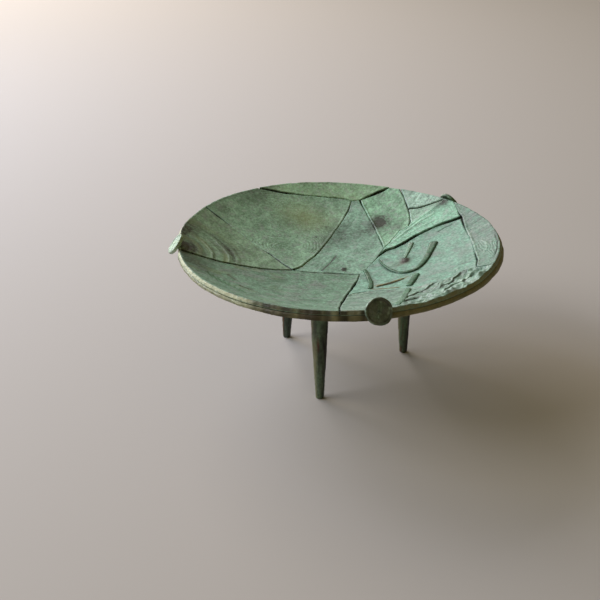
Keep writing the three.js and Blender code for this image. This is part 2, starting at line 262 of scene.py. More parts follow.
def nearest(x, y, path):
    """For plan points and a path: the distance to the path, the share of its length at
    the nearest point, and on which side the point lies (1 left, -1 right)."""
    points = np.asarray(path, float)[:, :2]
    steps = np.diff(points, axis=0)
    lengths = np.hypot(steps[:, 0], steps[:, 1])
    starts = np.concatenate([[0], np.cumsum(lengths)[:-1]])
    best = np.full(np.shape(x), np.inf)
    where, side = np.zeros(np.shape(x)), np.ones(np.shape(x))
    for (ax, ay), (dx, dy), length, start in zip(points, steps, lengths, starts):
        t = np.clip(((x - ax) * dx + (y - ay) * dy) / length**2, 0, 1)
        distance = np.hypot(x - ax - t * dx, y - ay - t * dy)
        closer = distance < best
        best = np.where(closer, distance, best)
        where = np.where(closer, start + t * length, where)
        side = np.where(closer, np.sign(dx * (y - ay) - dy * (x - ax)), side)
    return best, where / lengths.sum(), side


def resample(path, count):
    """The path's rows at equal steps of its length."""
    path = np.asarray(path, float)
    lengths = np.hypot(*np.diff(path[:, :2], axis=0).T)
    at = np.concatenate([[0], np.cumsum(lengths)])
    wanted = np.linspace(0, at[-1], count)
    return np.stack([np.interp(wanted, at, column) for column in path.T], axis=-1)


def path_length(path):
    return float(np.hypot(*np.diff(np.asarray(path)[:, :2], axis=0).T).sum())


# ---------------------------------------------------------------- meshes


def quads(index):
    """Four-cornered faces over a grid of vertex numbers, in order round each face."""
    corners = (index[:-1, :-1], index[:-1, 1:], index[1:, 1:], index[1:, :-1])
    return np.stack(corners, axis=-1).reshape(-1, 4)


def fan(loop, centre, flip):
    """Triangles from a centre point to each pair of neighbours along a loop."""
    pairs = zip(loop[:-1].tolist(), loop[1:].tolist())
    return [[centre, b, a] if flip else [centre, a, b] for a, b in pairs]


def make_piece(node, points, faces, marks, tone, material):
    """Makes the mesh piece that stands for a CAD node, from whole arrays, and hangs it on
    the frame. The tone is the crust's own colour."""
    name = node + "_cast"
    mesh = bpy.data.meshes.new(name)
    mesh.from_pydata((points * MM).tolist(), [], faces)
    for key, values in marks.items():
        attribute = mesh.attributes.new(key, "FLOAT", "POINT")
        attribute.data.foreach_set("value", np.asarray(values, np.float32).ravel())
    attribute = mesh.attributes.new("tone", "FLOAT_COLOR", "POINT")
    colours = np.ones((len(points), 4), np.float32)
    colours[:, :3] = linear(tone)
    attribute.data.foreach_set("color", colours.ravel())
    mesh.shade_smooth()
    mesh.set_sharp_from_angle(angle=math.radians(SHARP_ANGLE))
    mesh.materials.append(material)
    piece = bpy.data.objects.new(name, mesh)
    bpy.context.scene.collection.objects.link(piece)
    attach(piece, "root")
    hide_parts(node)
    return piece


MARKS = ("dark", "light", "soot", "rust", "olive", "green", "violet", "cream", "umber")


def no_marks(shape):
    return {key: np.zeros(shape) for key in MARKS}


def rim_marks(x, y, marks):
    """Marks of the outer edge's face at plan points: pale cream green at the left, dark and
    rusty at the front, and bare olive brown all round the right."""
    _, azimuth = polar(x, y)
    left = smooth(-112, -122, azimuth) + smooth(165, 175, azimuth)
    front = smooth(-122, -112, azimuth) * (1 - smooth(-80, -66, azimuth))
    right = np.clip(1 - left - front, 0, 1)
    patches = noise(x, y, 5, 15, 2)
    flakes = smooth(-98, -112, azimuth) * smooth(0.0, 0.5, noise(x, y, 7, 16))
    marks["cream"] = left * (1.1 + 0.3 * patches) + 0.6 * front * flakes
    marks["umber"] = right * (0.7 + 0.35 * patches) + 0.9 * front
    marks["rust"] = front * smooth(0.1, 0.6, noise(x, y, 9, 17))
    marks["rust"] += 0.3 * left * smooth(0.2, 0.6, -patches)
    marks["dark"] = 0.9 * front * smooth(-0.5, 0.2, -noise(x, y, 8, 18, 2))
    marks["olive"] = 0.8 * right * smooth(-0.1, 0.5, noise(x, y, 11, 19, 2))
    return marks


WALL_STEPS = 6
ON_EDGE = 0.2  # a wall this near the bowl's edge is a part of it


def slab(x, y, top, bottom, marks, wall_rough):
    """A closed slab over a grid of plan points, from the heights bottom to the heights top.
    Between the two faces the wall bulges by a half sine, with noise for the rough cut. Where
    the wall is on the bowl's edge, it has the marks of the edge."""
    rows, columns = x.shape
    grid = np.arange(rows * columns).reshape(rows, columns)
    loop = np.concatenate([grid[0, :-1], grid[:-1, -1], grid[-1, :0:-1], grid[:0:-1, 0]])
    lx, ly, low, high = (values.ravel()[loop] for values in (x, y, bottom, top))
    tx, ty = np.roll(lx, -1) - np.roll(lx, 1), np.roll(ly, -1) - np.roll(ly, 1)
    length = np.maximum(np.hypot(tx, ty), 1e-6)
    outx, outy = ty / length, -tx / length
    walls = []
    for k in range(1, WALL_STEPS):
        share = k / WALL_STEPS
        push = 0.5 * math.sin(math.pi * share) + 0.7 * noise(lx, ly + 2 * k, 3.5, 11, 2)
        push = wall_rough * (push + 0.4 * noise(lx + 1.7 * ly, 3 * k, 1.8, 12))
        walls.append(on_skin(lx + outx * push, ly + outy * push, low + (high - low) * share))
    points = np.concatenate(
        [on_skin(x, y, top).reshape(-1, 3), on_skin(x, y, bottom).reshape(-1, 3), *walls]
    )
    count = rows * columns
    levels = [loop + count]
    levels += [2 * count + k * len(loop) + np.arange(len(loop)) for k in range(len(walls))]
    levels += [loop]
    ring = np.stack([np.append(level, level[0]) for level in levels])
    faces = np.concatenate([quads(grid), quads(grid + count)[:, ::-1], quads(ring)]).tolist()
    radius, azimuth = polar(lx, ly)
    outer = rim_radius(azimuth) - radius < ON_EDGE
    # A wall takes the marks of the top face's edge, so the painted shade beside the seams runs down
    # the walls into the gaps; on the bowl's edge it takes the edge's marks.
    edge = {key: values.ravel()[loop] for key, values in marks.items()}
    for key, values in rim_marks(lx, ly, no_marks(lx.shape)).items():
        edge[key] = np.where(outer, values, edge[key])
    extra = {}
    for key, values in marks.items():
        top_and_bottom = [values.ravel(), values.ravel() * 0]
        extra[key] = np.concatenate(top_and_bottom + [edge[key]] * len(walls))
    return points, faces, extra


# ---------------------------------------------------------------- seams

# Azimuths where seams reach the edge, and corners where seams meet.
LEFT, FRONT, SEAT, RIGHT, TAIL = -168, -88.5, -70, -22, 38
NOOK, SHARD, NOTCH, BACK, FAN = 42.5, 63, 67.5, 123.5, 152
HUB, HEEL, WAIST, CHIN = (-41, -1), (23, -4), (48, 44), (42, 31)
PEAK, NICK = (16, 123), (24, 124)
BEND, CROOK, SHOULDER, HIP = (73, 74), (74, 101), (125, 65), (128, -47)
TOE, KNEE = (10, -60), (66, -54)

# Each seam: its points with the width of its gap there, and how proud the lip stands on
# its left and on its right.
SEAMS = {
    "left": ([(*rim_point(LEFT), 2.6), (-132, -27, 1.5), (-123, -24.5, 1.1), (-108, -21, 1.2),
              (-95, -17.5, 1.5), (-83, -14, 1.8), (-67, -9.5, 1.2), (-53, -5, 0.8), (*HUB, 1.0)],
             0.3, 0.5),
    "middle": ([(*HUB, 1.6), (-31, -1, 1.7), (-19, -1.5, 1.9), (-9, -1, 1.5), (8, -2.5, 1.6),
                (*HEEL, 1.3)], 0.5, 0.3),
    "fan": ([(*HUB, 1.2), (-54, 12, 1.0), (-63, 22, 1.1), (-70, 28, 0.5), (-88, 42, 0.12),
             (-104, 54, 0.3), (-113, 60, 0.9), (*rim_point(FAN), 1.7)], 0.2, 0.3),
    "grain": ([(*HUB, 1.3), (-33, 9, 0.3), (-29, 18, 0.2), (-21, 33, 0.7), (-11, 54, 0.6),
               (-6, 66, 0.2), (0, 80, 0.2), (5, 92, 0.5), (12, 109, 0.8), (*PEAK, 0.6)], 0.5, 0),
    "back": ([(*PEAK, 0.6), (10, 125.5, 0.4), (-4, 127.5, 0.7), (-25, 128.3, 0.4),
              (-45, 127.5, 0.9), (-62, 126.5, 1.7), (*rim_point(BACK), 1.9)], 0.3, 0.2),
    "peak": ([(*PEAK, 0), (*NICK, 0)], 0, 0),
    "notch": ([(*NICK, 2.2), (33, 127.5, 1.6), (43, 131, 2.6), (*rim_point(NOTCH), 1.6)], 0, 0),
    "square": ([(*NICK, 1.3), (27, 115, 0.8), (31, 105, 0.6), (36, 91, 0.4), (40, 78, 0.5),
                (44, 62, 0.6), (*WAIST, 0.6)], 1.0, 0.1),
    "chin": ([(*WAIST, 0.7), (45, 37, 0.9), (*CHIN, 1.2)], 0.2, 0.2),
    "neck": ([(*CHIN, 0.8), (33, 13, 0.15), (*HEEL, 0.4)], 0, 0),
    "fold": ([(*WAIST, 0.6), (54, 51, 0.4), (64, 69, 0.3), (*BEND, 0.5)], 0.5, 0.2),
    "wedge": ([(*BEND, 0.5), (80, 80, 0.25), (87, 86, 0.25), (97, 92, 0.35),
               (*rim_point(NOOK), 0.5)], 0.2, 0.6),
    "shard": ([(*CROOK, 0.8), (73, 108, 1.2), (71, 117, 0.6), (*rim_point(SHARD), 1.0)], 0.4, 0.1),
    "crook": ([(*BEND, 0.5), (75, 81, 0.9), (75, 90, 0.6), (*CROOK, 0.9)], 0.3, 0.3),
    "nook": ([(*CROOK, 1.2), (84, 100, 1.3), (95, 100.5, 0.9), (*rim_point(NOOK), 0.7)], 0.2, 0.3),
    "band": ([(*CHIN, 1.3), (50, 39.5, 1.2), (58, 42, 1.2), (68, 48, 1.9), (79, 55.5, 1.8),
              (90, 60.5, 1.4), (99, 63.5, 0.7), (108, 65, 2.0), (*SHOULDER, 2.2)], 0.2, 0.2),
    "tail": ([(*SHOULDER, 1.2), (122, 77, 0.3), (*rim_point(TAIL), 0.2)], 0, 0.2),
    "right": ([(*HIP, 0.6), (130, -29, 1.1), (130.5, -13, 0.7), (130.5, 5, 0.15), (129, 26, 0.15),
               (126, 48, 0.9), (*SHOULDER, 1.3)], 0.2, 0.9),
    "hip": ([(*HIP, 0.5), (*rim_point(RIGHT), 0.15)], 0, 0),
    "ragged": ([(*KNEE, 0.8), (79, -56, 0.8), (89, -51, 0.6), (96, -57, 1.0), (110, -48.5, 0.9),
                (117, -43, 0.7), (*HIP, 0.5)], 0.3, 0.6),
    "toe": ([(*TOE, 0.8), (18, -53.5, 1.5), (29, -49.5, 1.1), (46, -51, 1.3), (*KNEE, 0.8)],
            0.4, 0.9),
    "heel": ([(*TOE, 1.3), (12.5, -50, 0.9), (15, -41, 1.1), (18.5, -29, 1.3), (21, -18, 0.5),
              (*HEEL, 0.5)], 0.4, 0),
    "step": ([(*rim_point(FRONT), 1.2), (4, -118, 1.2), (4.5, -106, 0.8), (6.5, -86, 1.4),
              (*TOE, 1.1)], 0.3, 0),
    "seat": ([(*rim_point(SEAT), 0.3), (60, -90, 0.25), (*KNEE, 0.5)], 0, 0),
}


def along(name):
    """A seam in its own direction: rows of x, y, gap and the lip on its left."""
    points, left, _ = SEAMS[name]
    return np.array([(*p, left) for p in points])


def back(name):
    """A seam the other way round, with the lip on its right."""
    points, _, right = SEAMS[name]
    return np.array([(*p, right) for p in reversed(points)])


ARC_STEP = 0.6  # degrees between the points of the edge
ARC_LIP = 0.15


def arc(start, end):
    """The edge between two azimuths, with no gap."""
    azimuths = np.linspace(start, end, max(3, round(abs(end - start) / ARC_STEP)))
    radius = rim_radius(azimuths)
    a = np.radians(azimuths)
    flat = np.zeros_like(a)
    return np.stack([radius * np.cos(a), radius * np.sin(a), flat, flat + ARC_LIP], axis=-1)


def join(*paths):
    """Paths end to end, with each shared corner kept once."""
    return np.concatenate([paths[0], *[path[1:] for path in paths[1:]]])


LEAST_BEND = 0.02  # as the squared sine of the angle


def cut_back(sides):
    """Moves each side of an anticlockwise outline inwards by half its gap. A corner goes to
    where the two moved lines cross, and a point with no real bend goes straight inwards."""
    outline = np.concatenate([s[:-1, :2] for s in sides])
    gap_after = np.concatenate([s[:-1, 2] for s in sides]) / 2
    ends = np.array([s[-1, 2] for s in sides]) / 2
    gap_before = gap_after.copy()
    starts = np.cumsum([0] + [len(s) - 1 for s in sides[:-1]])
    gap_before[starts] = np.roll(ends, 1)
    into = outline - np.roll(outline, 1, axis=0)
    out = np.roll(outline, -1, axis=0) - outline
    n1 = np.stack([-into[:, 1], into[:, 0]], axis=-1)
    n2 = np.stack([-out[:, 1], out[:, 0]], axis=-1)
    n1 /= np.linalg.norm(n1, axis=1, keepdims=True)
    n2 /= np.linalg.norm(n2, axis=1, keepdims=True)
    c = (n1 * n2).sum(1)
    bent = 1 - c**2 > LEAST_BEND
    spread = np.where(bent, 1 - c**2, 1)
    one = np.where(bent, (gap_before - gap_after * c) / spread, (gap_before + gap_after) / 4)
    two = np.where(bent, (gap_after - gap_before * c) / spread, (gap_before + gap_after) / 4)
    moved = outline + n1 * one[:, None] + n2 * two[:, None]
    moved = np.concatenate([moved, moved[:1]])
    stops = np.append(starts, len(outline))
    return [moved[a : b + 1] for a, b in zip(stops[:-1], stops[1:])]


MOST_POINTS = 44000  # on a plate's face: a larger plate's grid is coarser


def patch(sides, pitch):
    """Fills four sides, taken anticlockwise, with a grid of plan points: the blend of the
    two pairs of facing sides, less the blend of the four corners (a Coons patch)."""
    south, east, north, west = sides
    across = int(max(path_length(south), path_length(north)) / pitch) + 2
    upward = int(max(path_length(east), path_length(west)) / pitch) + 2
    coarser = max(1.0, math.sqrt(across * upward / MOST_POINTS))
    across, upward = int(across / coarser), int(upward / coarser)
    s, n = resample(south, across), resample(north, across)[::-1]
    e, w = resample(east, upward), resample(west, upward)[::-1]
    u = np.linspace(0, 1, across)[None, :, None]
    v = np.linspace(0, 1, upward)[:, None, None]
    ruled = (1 - v) * s[None] + v * n[None] + (1 - u) * w[:, None] + u * e[:, None]
    corners = (1 - v) * ((1 - u) * s[0] + u * s[-1]) + v * ((1 - u) * n[0] + u * n[-1])
    grid = ruled - corners
    return grid[..., 0], grid[..., 1]


# ---------------------------------------------------------------- relief

# Each relief takes plan points and the marks, adds to the marks, and returns a height.


def stroke(x, y, path, width, start=0.0, end=1.0):
    """1 on a path, falling to 0 as a bell of the given half width, and fading out towards
    the two ends of the stretch from start to end."""
    distance, share, _ = nearest(x, y, path)
    fade = smooth(start - 0.001, start + 0.15, share) * (1 - smooth(end - 0.15, end + 0.001, share))
    return bell(distance, width) * fade


def blob(x, y, centre, radius, stretch=1.0, turn=0.0):
    """1 at the centre, falling to 0 as a bell that is longer along the turned X."""
    a = math.radians(turn)
    dx, dy = x - centre[0], y - centre[1]
    p = (dx * math.cos(a) + dy * math.sin(a)) / stretch
    q = dy * math.cos(a) - dx * math.sin(a)
    ragged = 1 + 0.25 * noise(x, y, radius * 0.6, 21, 2)
    return np.exp(-((np.hypot(p, q) / radius) ** 2) * ragged)


def hatch(x, y, turn, pitch, seed, length=9.0):
    """Fine cut lines: noise stretched along one direction, and sharpened into lines."""
    a = math.radians(turn)
    p, q = x * math.cos(a) + y * math.sin(a), y * math.cos(a) - x * math.sin(a)
    q = q + 0.6 * noise(x, y, 14, seed + 1)
    return noise(p / length, q / pitch, 1.0, seed, 2)


def shade_lines(marks, lines, light, dark, low=0.1, high=0.8):
    """Lightens the crests of fine lines, and darkens what lies between them."""
    marks["light"] += light * smooth(low, high, lines)
    marks["dark"] += dark * smooth(low, high, -lines)


def hatched(turn, pitch, strength, seed):
    """Fine parallel cuts at an angle."""

    def relief(x, y, marks):
        lines = hatch(x, y, turn, pitch, seed)
        shade_lines(marks, lines, 0.25, 0.35, 0.25)
        return strength * lines

    return relief


# Rings: radius from the disc, width, and strength (ridges above 0, grooves below).
RINGS = (
    (13, 1.8, -0.6), (19, 1.8, -0.55), (24, 1.2, 0.25), (28, 1.8, -0.45), (35, 1.0, 0.8),
    (38, 1.5, -0.5), (43, 1.3, 0.2), (46.5, 1.2, -0.3), (50.5, 1.0, 0.8), (55, 2.4, -0.75),
    (61, 1.6, -0.3),
)


def growth_rings(x, y, marks):
    """Arcs round the left disc, like the rings of a shell, strongest by the left seam."""
    cx, cy = -150, -20
    radius = np.hypot(x - cx, y - cy) + 1.6 * noise(x, y, 18, 31) + 0.5 * noise(x, y, 5, 32)
    angle = np.degrees(np.arctan2(y - cy, x - cx))
    near_seam = 1 - smooth(38, 80, angle + 14 * noise(x, y, 12, 34))
    height = 0 * x
    for at, width, strength in RINGS:
        ring = bell(radius - at, width) * near_seam
        height += 0.5 * strength * ring
        marks["light" if strength > 0 else "soot"] += abs(strength) * ring
    lines = noise(radius / 1.6, angle / 40, 1.0, 33, 2)
    near = 1 - smooth(48, 75, radius)
    marks["dark"] += 0.3 * near * smooth(0.1, 0.7, -lines)
    marks["olive"] += 0.7 * near * smooth(-0.2, 0.6, noise(radius / 6, angle / 45, 1.0, 35, 2))
    marks["rust"] += 0.35 * near * smooth(0.1, 0.7, noise(radius / 5, angle / 50, 1.0, 37, 2))
    marks["green"] += 0.4 * smooth(0, 0.8, noise(radius / 9, angle / 30, 1.0, 36, 2)) * near
    return height + 0.12 * lines


PORES = ((-47, 62), (-43, 46), (-43, 35), (-20, 66), (-10, 84), (-64, 40), (-28, 74), (-16, 50))


def wood_grain(x, y, marks):
    """The print of a board: long ovals round a knot near the hub, wavy further out. The
    lines come and go, and knots and pores are dark."""
    cx, cy = -52, 44
    dx, dy = x - cx, y - cy
    p, q = dx * 0.97 + dy * 0.24, dy * 0.97 - dx * 0.24
    bend = 6 * noise(x, y, 34, 41) + 2.2 * noise(x, y, 12, 42) + 0.6 * noise(x, y, 4, 44)
    radius = np.hypot(p / 1.5, q) + bend
    lines = np.sin(radius * 2 * math.pi / 2.3 + 1.5 * noise(x, y, 7, 45))
    near_knot = 0.35 + 0.65 * (1 - smooth(10, 75, radius))
    strength = smooth(-0.35, 0.7, noise(x, y, 19, 43, 2)) * near_knot
    shade_lines(marks, lines, 0.3 * strength, 0.26 * strength, high=1)
    marks["olive"] += 0.9 * blob(x, y, (-33, 96), 19, 1.5, -15)
    marks["green"] += 0.25 * smooth(0.0, 0.7, noise(x, y, 16, 46, 2))
    for pore in PORES:
        spot = bell(np.hypot(x - pore[0], y - pore[1]), 1.3)
        marks["soot"] += 0.8 * spot
    return 0.16 * strength * lines


def combed(x, y, marks):
    """Strokes combed outwards over the right edge, and wavy lines at its end."""
    radius, azimuth = polar(x, y)
    lines = noise(azimuth / 0.9, radius / 26, 1.0, 51, 3)
    upper = smooth(0, 10, azimuth) * (1 - smooth(36, 48, azimuth))
    bend = 6 * noise(x, y, 17, 53, 2) - 0.02 * azimuth**2
    waves = np.sin((radius + bend) * 2 * math.pi / 2.4) * smooth(-0.3, 0.4, noise(x, y, 9, 54, 2))
    lower = 1 - smooth(-2, 8, azimuth)
    bloom = smooth(-0.1, 0.6, noise(x, y, 12, 55, 2))
    marks["violet"] += 0.3 * bloom + 0.3 * upper * bloom
    shade_lines(marks, lines, 0.5 * upper, 0.45 * upper, high=0.6)
    shade_lines(marks, waves, 0.2 * lower, 0.14 * lower, 0.2, 1)
    groove = stroke(x, y, [(151, 16), (151.5, -4), (149, -22), (144, -38)], 0.8)
    marks["dark"] += 0.8 * groove
    crease = stroke(x, y, [(136, -22), (141, -10), (142, 4), (137, 13)], 1.1)
    marks["light"] += 0.5 * crease
    return 0.28 * upper * lines + 0.1 * lower * waves - 0.6 * groove + 0.3 * crease


# Radius of each torn step, and its height (down outwards below 0).
TORN_STEPS = (
    (98, 0.9), (106, -1.1), (113, 1.2), (120, -1.6), (127, 1.6), (133, -1.3), (139, 1.3),
)


def torn(x, y, marks):
    """Torn strips that follow the front right edge, in ragged broken steps, with crumbs of
    metal on them and a bright bead along the outermost one."""
    radius, azimuth = polar(x, y)
    ragged = 3.2 * noise(azimuth / 5, radius / 30, 1.0, 61, 3)
    height = 0 * x
    for at, step in TORN_STEPS:
        edge = radius - at - ragged - 0.07 * (azimuth + 45)
        broken = smooth(-0.45, 0.15, noise(x, y, 11, 62 + at, 2))
        height += step * broken * smooth(-0.6, 0.6, edge)
        # Painted shade at the foot of each step, and a painted highlight along its upper edge.
        marks["dark"] += 0.85 * broken * bell(edge + np.sign(step) * 0.7, 0.8)
        marks["light"] += 0.8 * broken * bell(edge - np.sign(step) * 1.4, 0.9)
    crumbs = noise(azimuth / 4.5, radius / 3.6, 1.0, 67, 3)
    marks["light"] += 0.45 * smooth(0.1, 0.6, crumbs)
    marks["dark"] += 0.45 * smooth(0.2, 0.6, -crumbs)
    marks["violet"] += 0.5 * smooth(0.0, 0.6, noise(x, y, 8, 68, 2))
    marks["green"] += 0.5 * smooth(0.1, 0.6, noise(x, y, 7, 69, 2))
    bead = bell(radius - 145.5 - 0.3 * ragged, 0.9) * smooth(-70, -60, azimuth)
    marks["light"] += 1.1 * bead
    return height + 0.4 * crumbs + 0.5 * bead


def striped(x, y, marks):
    """Low stripes along the front edge, with a rusty stain."""
    radius, azimuth = polar(x, y)
    lines = noise(radius / 2.1, azimuth / 22, 1.0, 71, 2)
    marks["light"] += 0.6 * smooth(0.1, 0.7, lines)
    marks["dark"] += 0.35 * smooth(0.2, 0.7, -lines)
    marks["rust"] += blob(x, y, (13, -145), 6, 2.2, 5)
    ridge = stroke(x, y, [(8, -112), (30, -113), (48, -112)], 1.5)
    marks["light"] += 1.5 * ridge
    marks["dark"] += 0.5 * stroke(x, y, [(8, -108), (30, -109), (46, -108)], 0.9)
    marks["violet"] += 0.4 * smooth(0.0, 0.6, noise(x, y, 9, 72, 2))
    return 0.25 * lines + 0.9 * ridge


def brushed_front(x, y, marks):
    """Faint strokes along the left seam, and a ladder of cuts by the left edge."""
    lines = hatch(x, y, 8, 1.7, 81, 14)
    shade_lines(marks, lines, 0.16, 0.16)
    ladder = 0 * x
    for k in range(7):
        shift = 5.2 * k
        ends = [(-116 + shift, -56 - 0.8 * shift), (-108 + shift, -74 - 0.75 * shift)]
        cut = stroke(x, y, ends, 1.3)
        ladder += cut
    marks["green"] += 1.1 * ladder
    rung = stroke(x, y, [(-118, -58), (-100, -74), (-76, -92), (-52, -105)], 1.5)
    marks["green"] += 0.7 * rung
    slashes = stroke(x, y, [(-99, -45), (-89, -58)], 1.8)
    slashes = slashes + stroke(x, y, [(-87, -70), (-72, -77)], 1.5)
    slashes = slashes * (0.5 + 0.5 * smooth(-0.3, 0.3, noise(x, y, 4, 84, 2)))
    marks["rust"] += 0.8 * slashes
    marks["soot"] += 0.9 * slashes
    marks["violet"] += 0.5 * smooth(0.0, 0.6, noise(x / 2.2, y, 8, 85, 3))
    to_left = smooth(-30, -80, x)
    marks["olive"] += 0.4 * smooth(0.1, 0.6, noise(x / 2.0, y, 9, 86, 2)) * to_left
    scratch = stroke(x, y, [(-46, -79), (-10, -84), (18, -82)], 0.7)
    marks["dark"] += 0.4 * scratch
    return 0.09 * lines - 0.35 * ladder - 0.3 * rung - 0.5 * slashes


def middle(x, y, marks):
    """A short step, a faint arc and a small dark knob near the middle."""
    path = [(2, 36), (-5.5, 18), (-13, 2)]
    distance, share, side = nearest(x, y, path)
    fade = smooth(0, 0.12, share) * (1 - smooth(0.93, 1.0, share))
    signed = distance * side
    step = fade * smooth(-1.2, 0.2, signed) * np.exp(-np.maximum(signed, 0) / 14)
    # A dark line at the foot of the step: painted shade.
    marks["dark"] += 2.2 * fade * bell(signed + 0.6, 1.0)
    marks["green"] += 0.7 * fade * bell(signed + 2.0, 2.0)
    bend = stroke(x, y, [(-2, 46), (10, 40), (28, 32)], 1.0)
    marks["light"] += 0.5 * bend
    knob = bell(np.hypot(x - 8, y - 9), 2.8)
    marks["soot"] += 2.0 * bell(np.hypot((x - 8) / 1.1, (y - 7) / 1.5), 2.4)
    marks["light"] += 0.9 * bell(np.hypot(x - 11, y - 13), 2.0)
    lines = hatch(x, y, 62, 1.8, 91, 10)
    marks["dark"] += 0.2 * smooth(0.2, 0.8, -lines)
    return 1.5 * step + 0.35 * bend + 0.9 * knob + 0.08 * lines


def hook_field(x, y, marks):
    """The big bright plate with the hook: faint level strokes, a bruise inside the hook, a
    thin groove beside the long seam, and rusty creases towards the front."""
    lines = hatch(x, y, 4, 1.8, 95, 12)
    marks["light"] += 0.22 * smooth(0.1, 0.8, lines)
    marks["dark"] += 0.1 * smooth(0.2, 0.8, -lines)
    spot = bell(np.hypot((x - 67) / 1.2, (y - 15) / 1.6), 3.2)
    marks["soot"] += 2.6 * spot
    marks["rust"] += 0.9 * spot + 0.6 * blob(x, y, (61, 9), 5, 1.6, 20)
    marks["violet"] += 0.45 * smooth(-0.1, 0.6, noise(x, y, 13, 96, 3))
    groove = stroke(x, y, [(99, 53), (108, 57.5), (118, 60)], 0.7)
    cut = stroke(x, y, [(111, -24), (120, -24.5), (129, -29)], 0.6)
    arc_groove = stroke(x, y, [(44, 30), (43, 22), (45, 10), (50, 0), (57, -8), (66, -12)], 0.9)
    marks["dark"] += 0.8 * groove + 0.9 * cut + 0.6 * arc_groove
    creases = stroke(x, y, [(33, -36), (45, -33), (52, -32), (63, -26), (70, -20)], 1.4)
    creases = creases + stroke(x, y, [(30, -44), (46, -45), (62, -47)], 1.2)
    creases = creases * (0.5 + 0.5 * smooth(-0.3, 0.3, noise(x, y, 3.5, 94, 2)))
    marks["rust"] += 1.1 * creases
    marks["olive"] += 1.2 * creases
    marks["dark"] += 0.9 * stroke(x, y, [(36, -39.5), (50, -35), (63, -28.5)], 0.9)
    ray = stroke(x, y, [(60, 18), (53, 9), (50, 13)], 1.2)
    marks["light"] += 0.4 * ray
    ripple = smooth(0.1, 0.7, noise(x, y, 4, 97, 2)) * blob(x, y, (112, -40), 14, 1.8, 20)
    marks["light"] += 0.6 * ripple
    height = 0.08 * lines + 1.1 * spot - 0.5 * (groove + cut) - 0.35 * arc_groove
    return height + 0.3 * creases + 0.5 * ripple


def bright_band(x, y, marks):
    """A smooth bright band with two long soft ridges."""
    ridge = stroke(x, y, [(54, 49), (70, 66), (86, 78), (104, 86)], 1.3)
    low = stroke(x, y, [(60, 52), (80, 66), (104, 75)], 1.2)
    marks["light"] += 0.5 * ridge + 0.2 * low
    return 0.45 * ridge + 0.25 * low


def flat_back(x, y, marks):
    marks["olive"] += 0.2 + 0.25 * smooth(-0.2, 0.6, noise(x, y, 14, 98, 2))
    marks["dark"] += 0.25 * stroke(x, y, [(-62, 139), (-30, 146), (0, 147)], 1.0)
    return 0.1 * noise(x, y, 7, 99, 2)


def plate_bottom(x, y):
    """A plate's bottom lies just above the shell, and turns down with it near the edge."""
    radius, azimuth = polar(x, y)
    share = radius / rim_radius(azimuth)
    return PLATE_BEDDING - PLATE_TURN * smooth(TURN_FROM, TURN_TO, share)


# Smoky brown clouds that cross plates: centre, radius, stretch, turn and strength.
CLOUDS = (
    ((44, 88), 9, 1.2, 60, 2.1), ((61, 80), 8, 1.7, 60, 0.5), ((31, 74), 8, 1.6, -60, 0.4),
    ((-144, 20), 9, 2.0, 75, 1.1), ((-143, -16), 9, 1.3, 20, 1.8), ((-130, -46), 12, 2.0, -50, 0.9),
    ((-8, 64), 14, 1.6, 60, 0.6), ((6, 81), 9, 1.4, 20, 0.4), ((22, 73), 9, 1.4, 20, 0.42),
    ((111, 97), 6, 1.6, 30, 1.4), ((-118, 78), 8, 1.4, 40, 0.5), ((-84, 108), 12, 1.8, 20, 0.4),
    ((-52, 84), 12, 1.6, 10, 0.3), ((104, 20), 10, 1.8, 20, 0.16), ((7, 62), 9, 1.5, 60, 0.35),
    ((-100, 12), 11, 1.6, 25, 0.45), ((122, 0), 7, 1.5, 80, 0.25), ((18, 20), 10, 1.6, 10, 0.25),
    ((-150, 6), 8, 1.5, 80, 0.6), ((-60, -30), 16, 2.5, 10, 0.12),
    ((-80, 125), 9, 2.2, 35, 0.5), ((-10, 8), 9, 2.0, 0, 0.2), ((36, 52), 6, 1.6, 60, 0.35),
)

# The crust's own colour on each plate: greener at the left, minty at the right.
TONES = {
    "front_left_plate": "#70937a", "ring_plate": "#86a586", "grain_plate": "#8cb092",
    "back_plate": "#95bd98", "square_plate": "#92bf9d", "centre_plate": "#8ab098",
    "shard_plate": "#a8cab6", "wedge_plate": "#9fc4ac", "band_plate": "#8ec0a3",
    "hook_plate": "#7ea993", "right_plate": "#6f917e", "ragged_plate": "#7d9d8a",
    "front_plate": "#7e9c89",
}

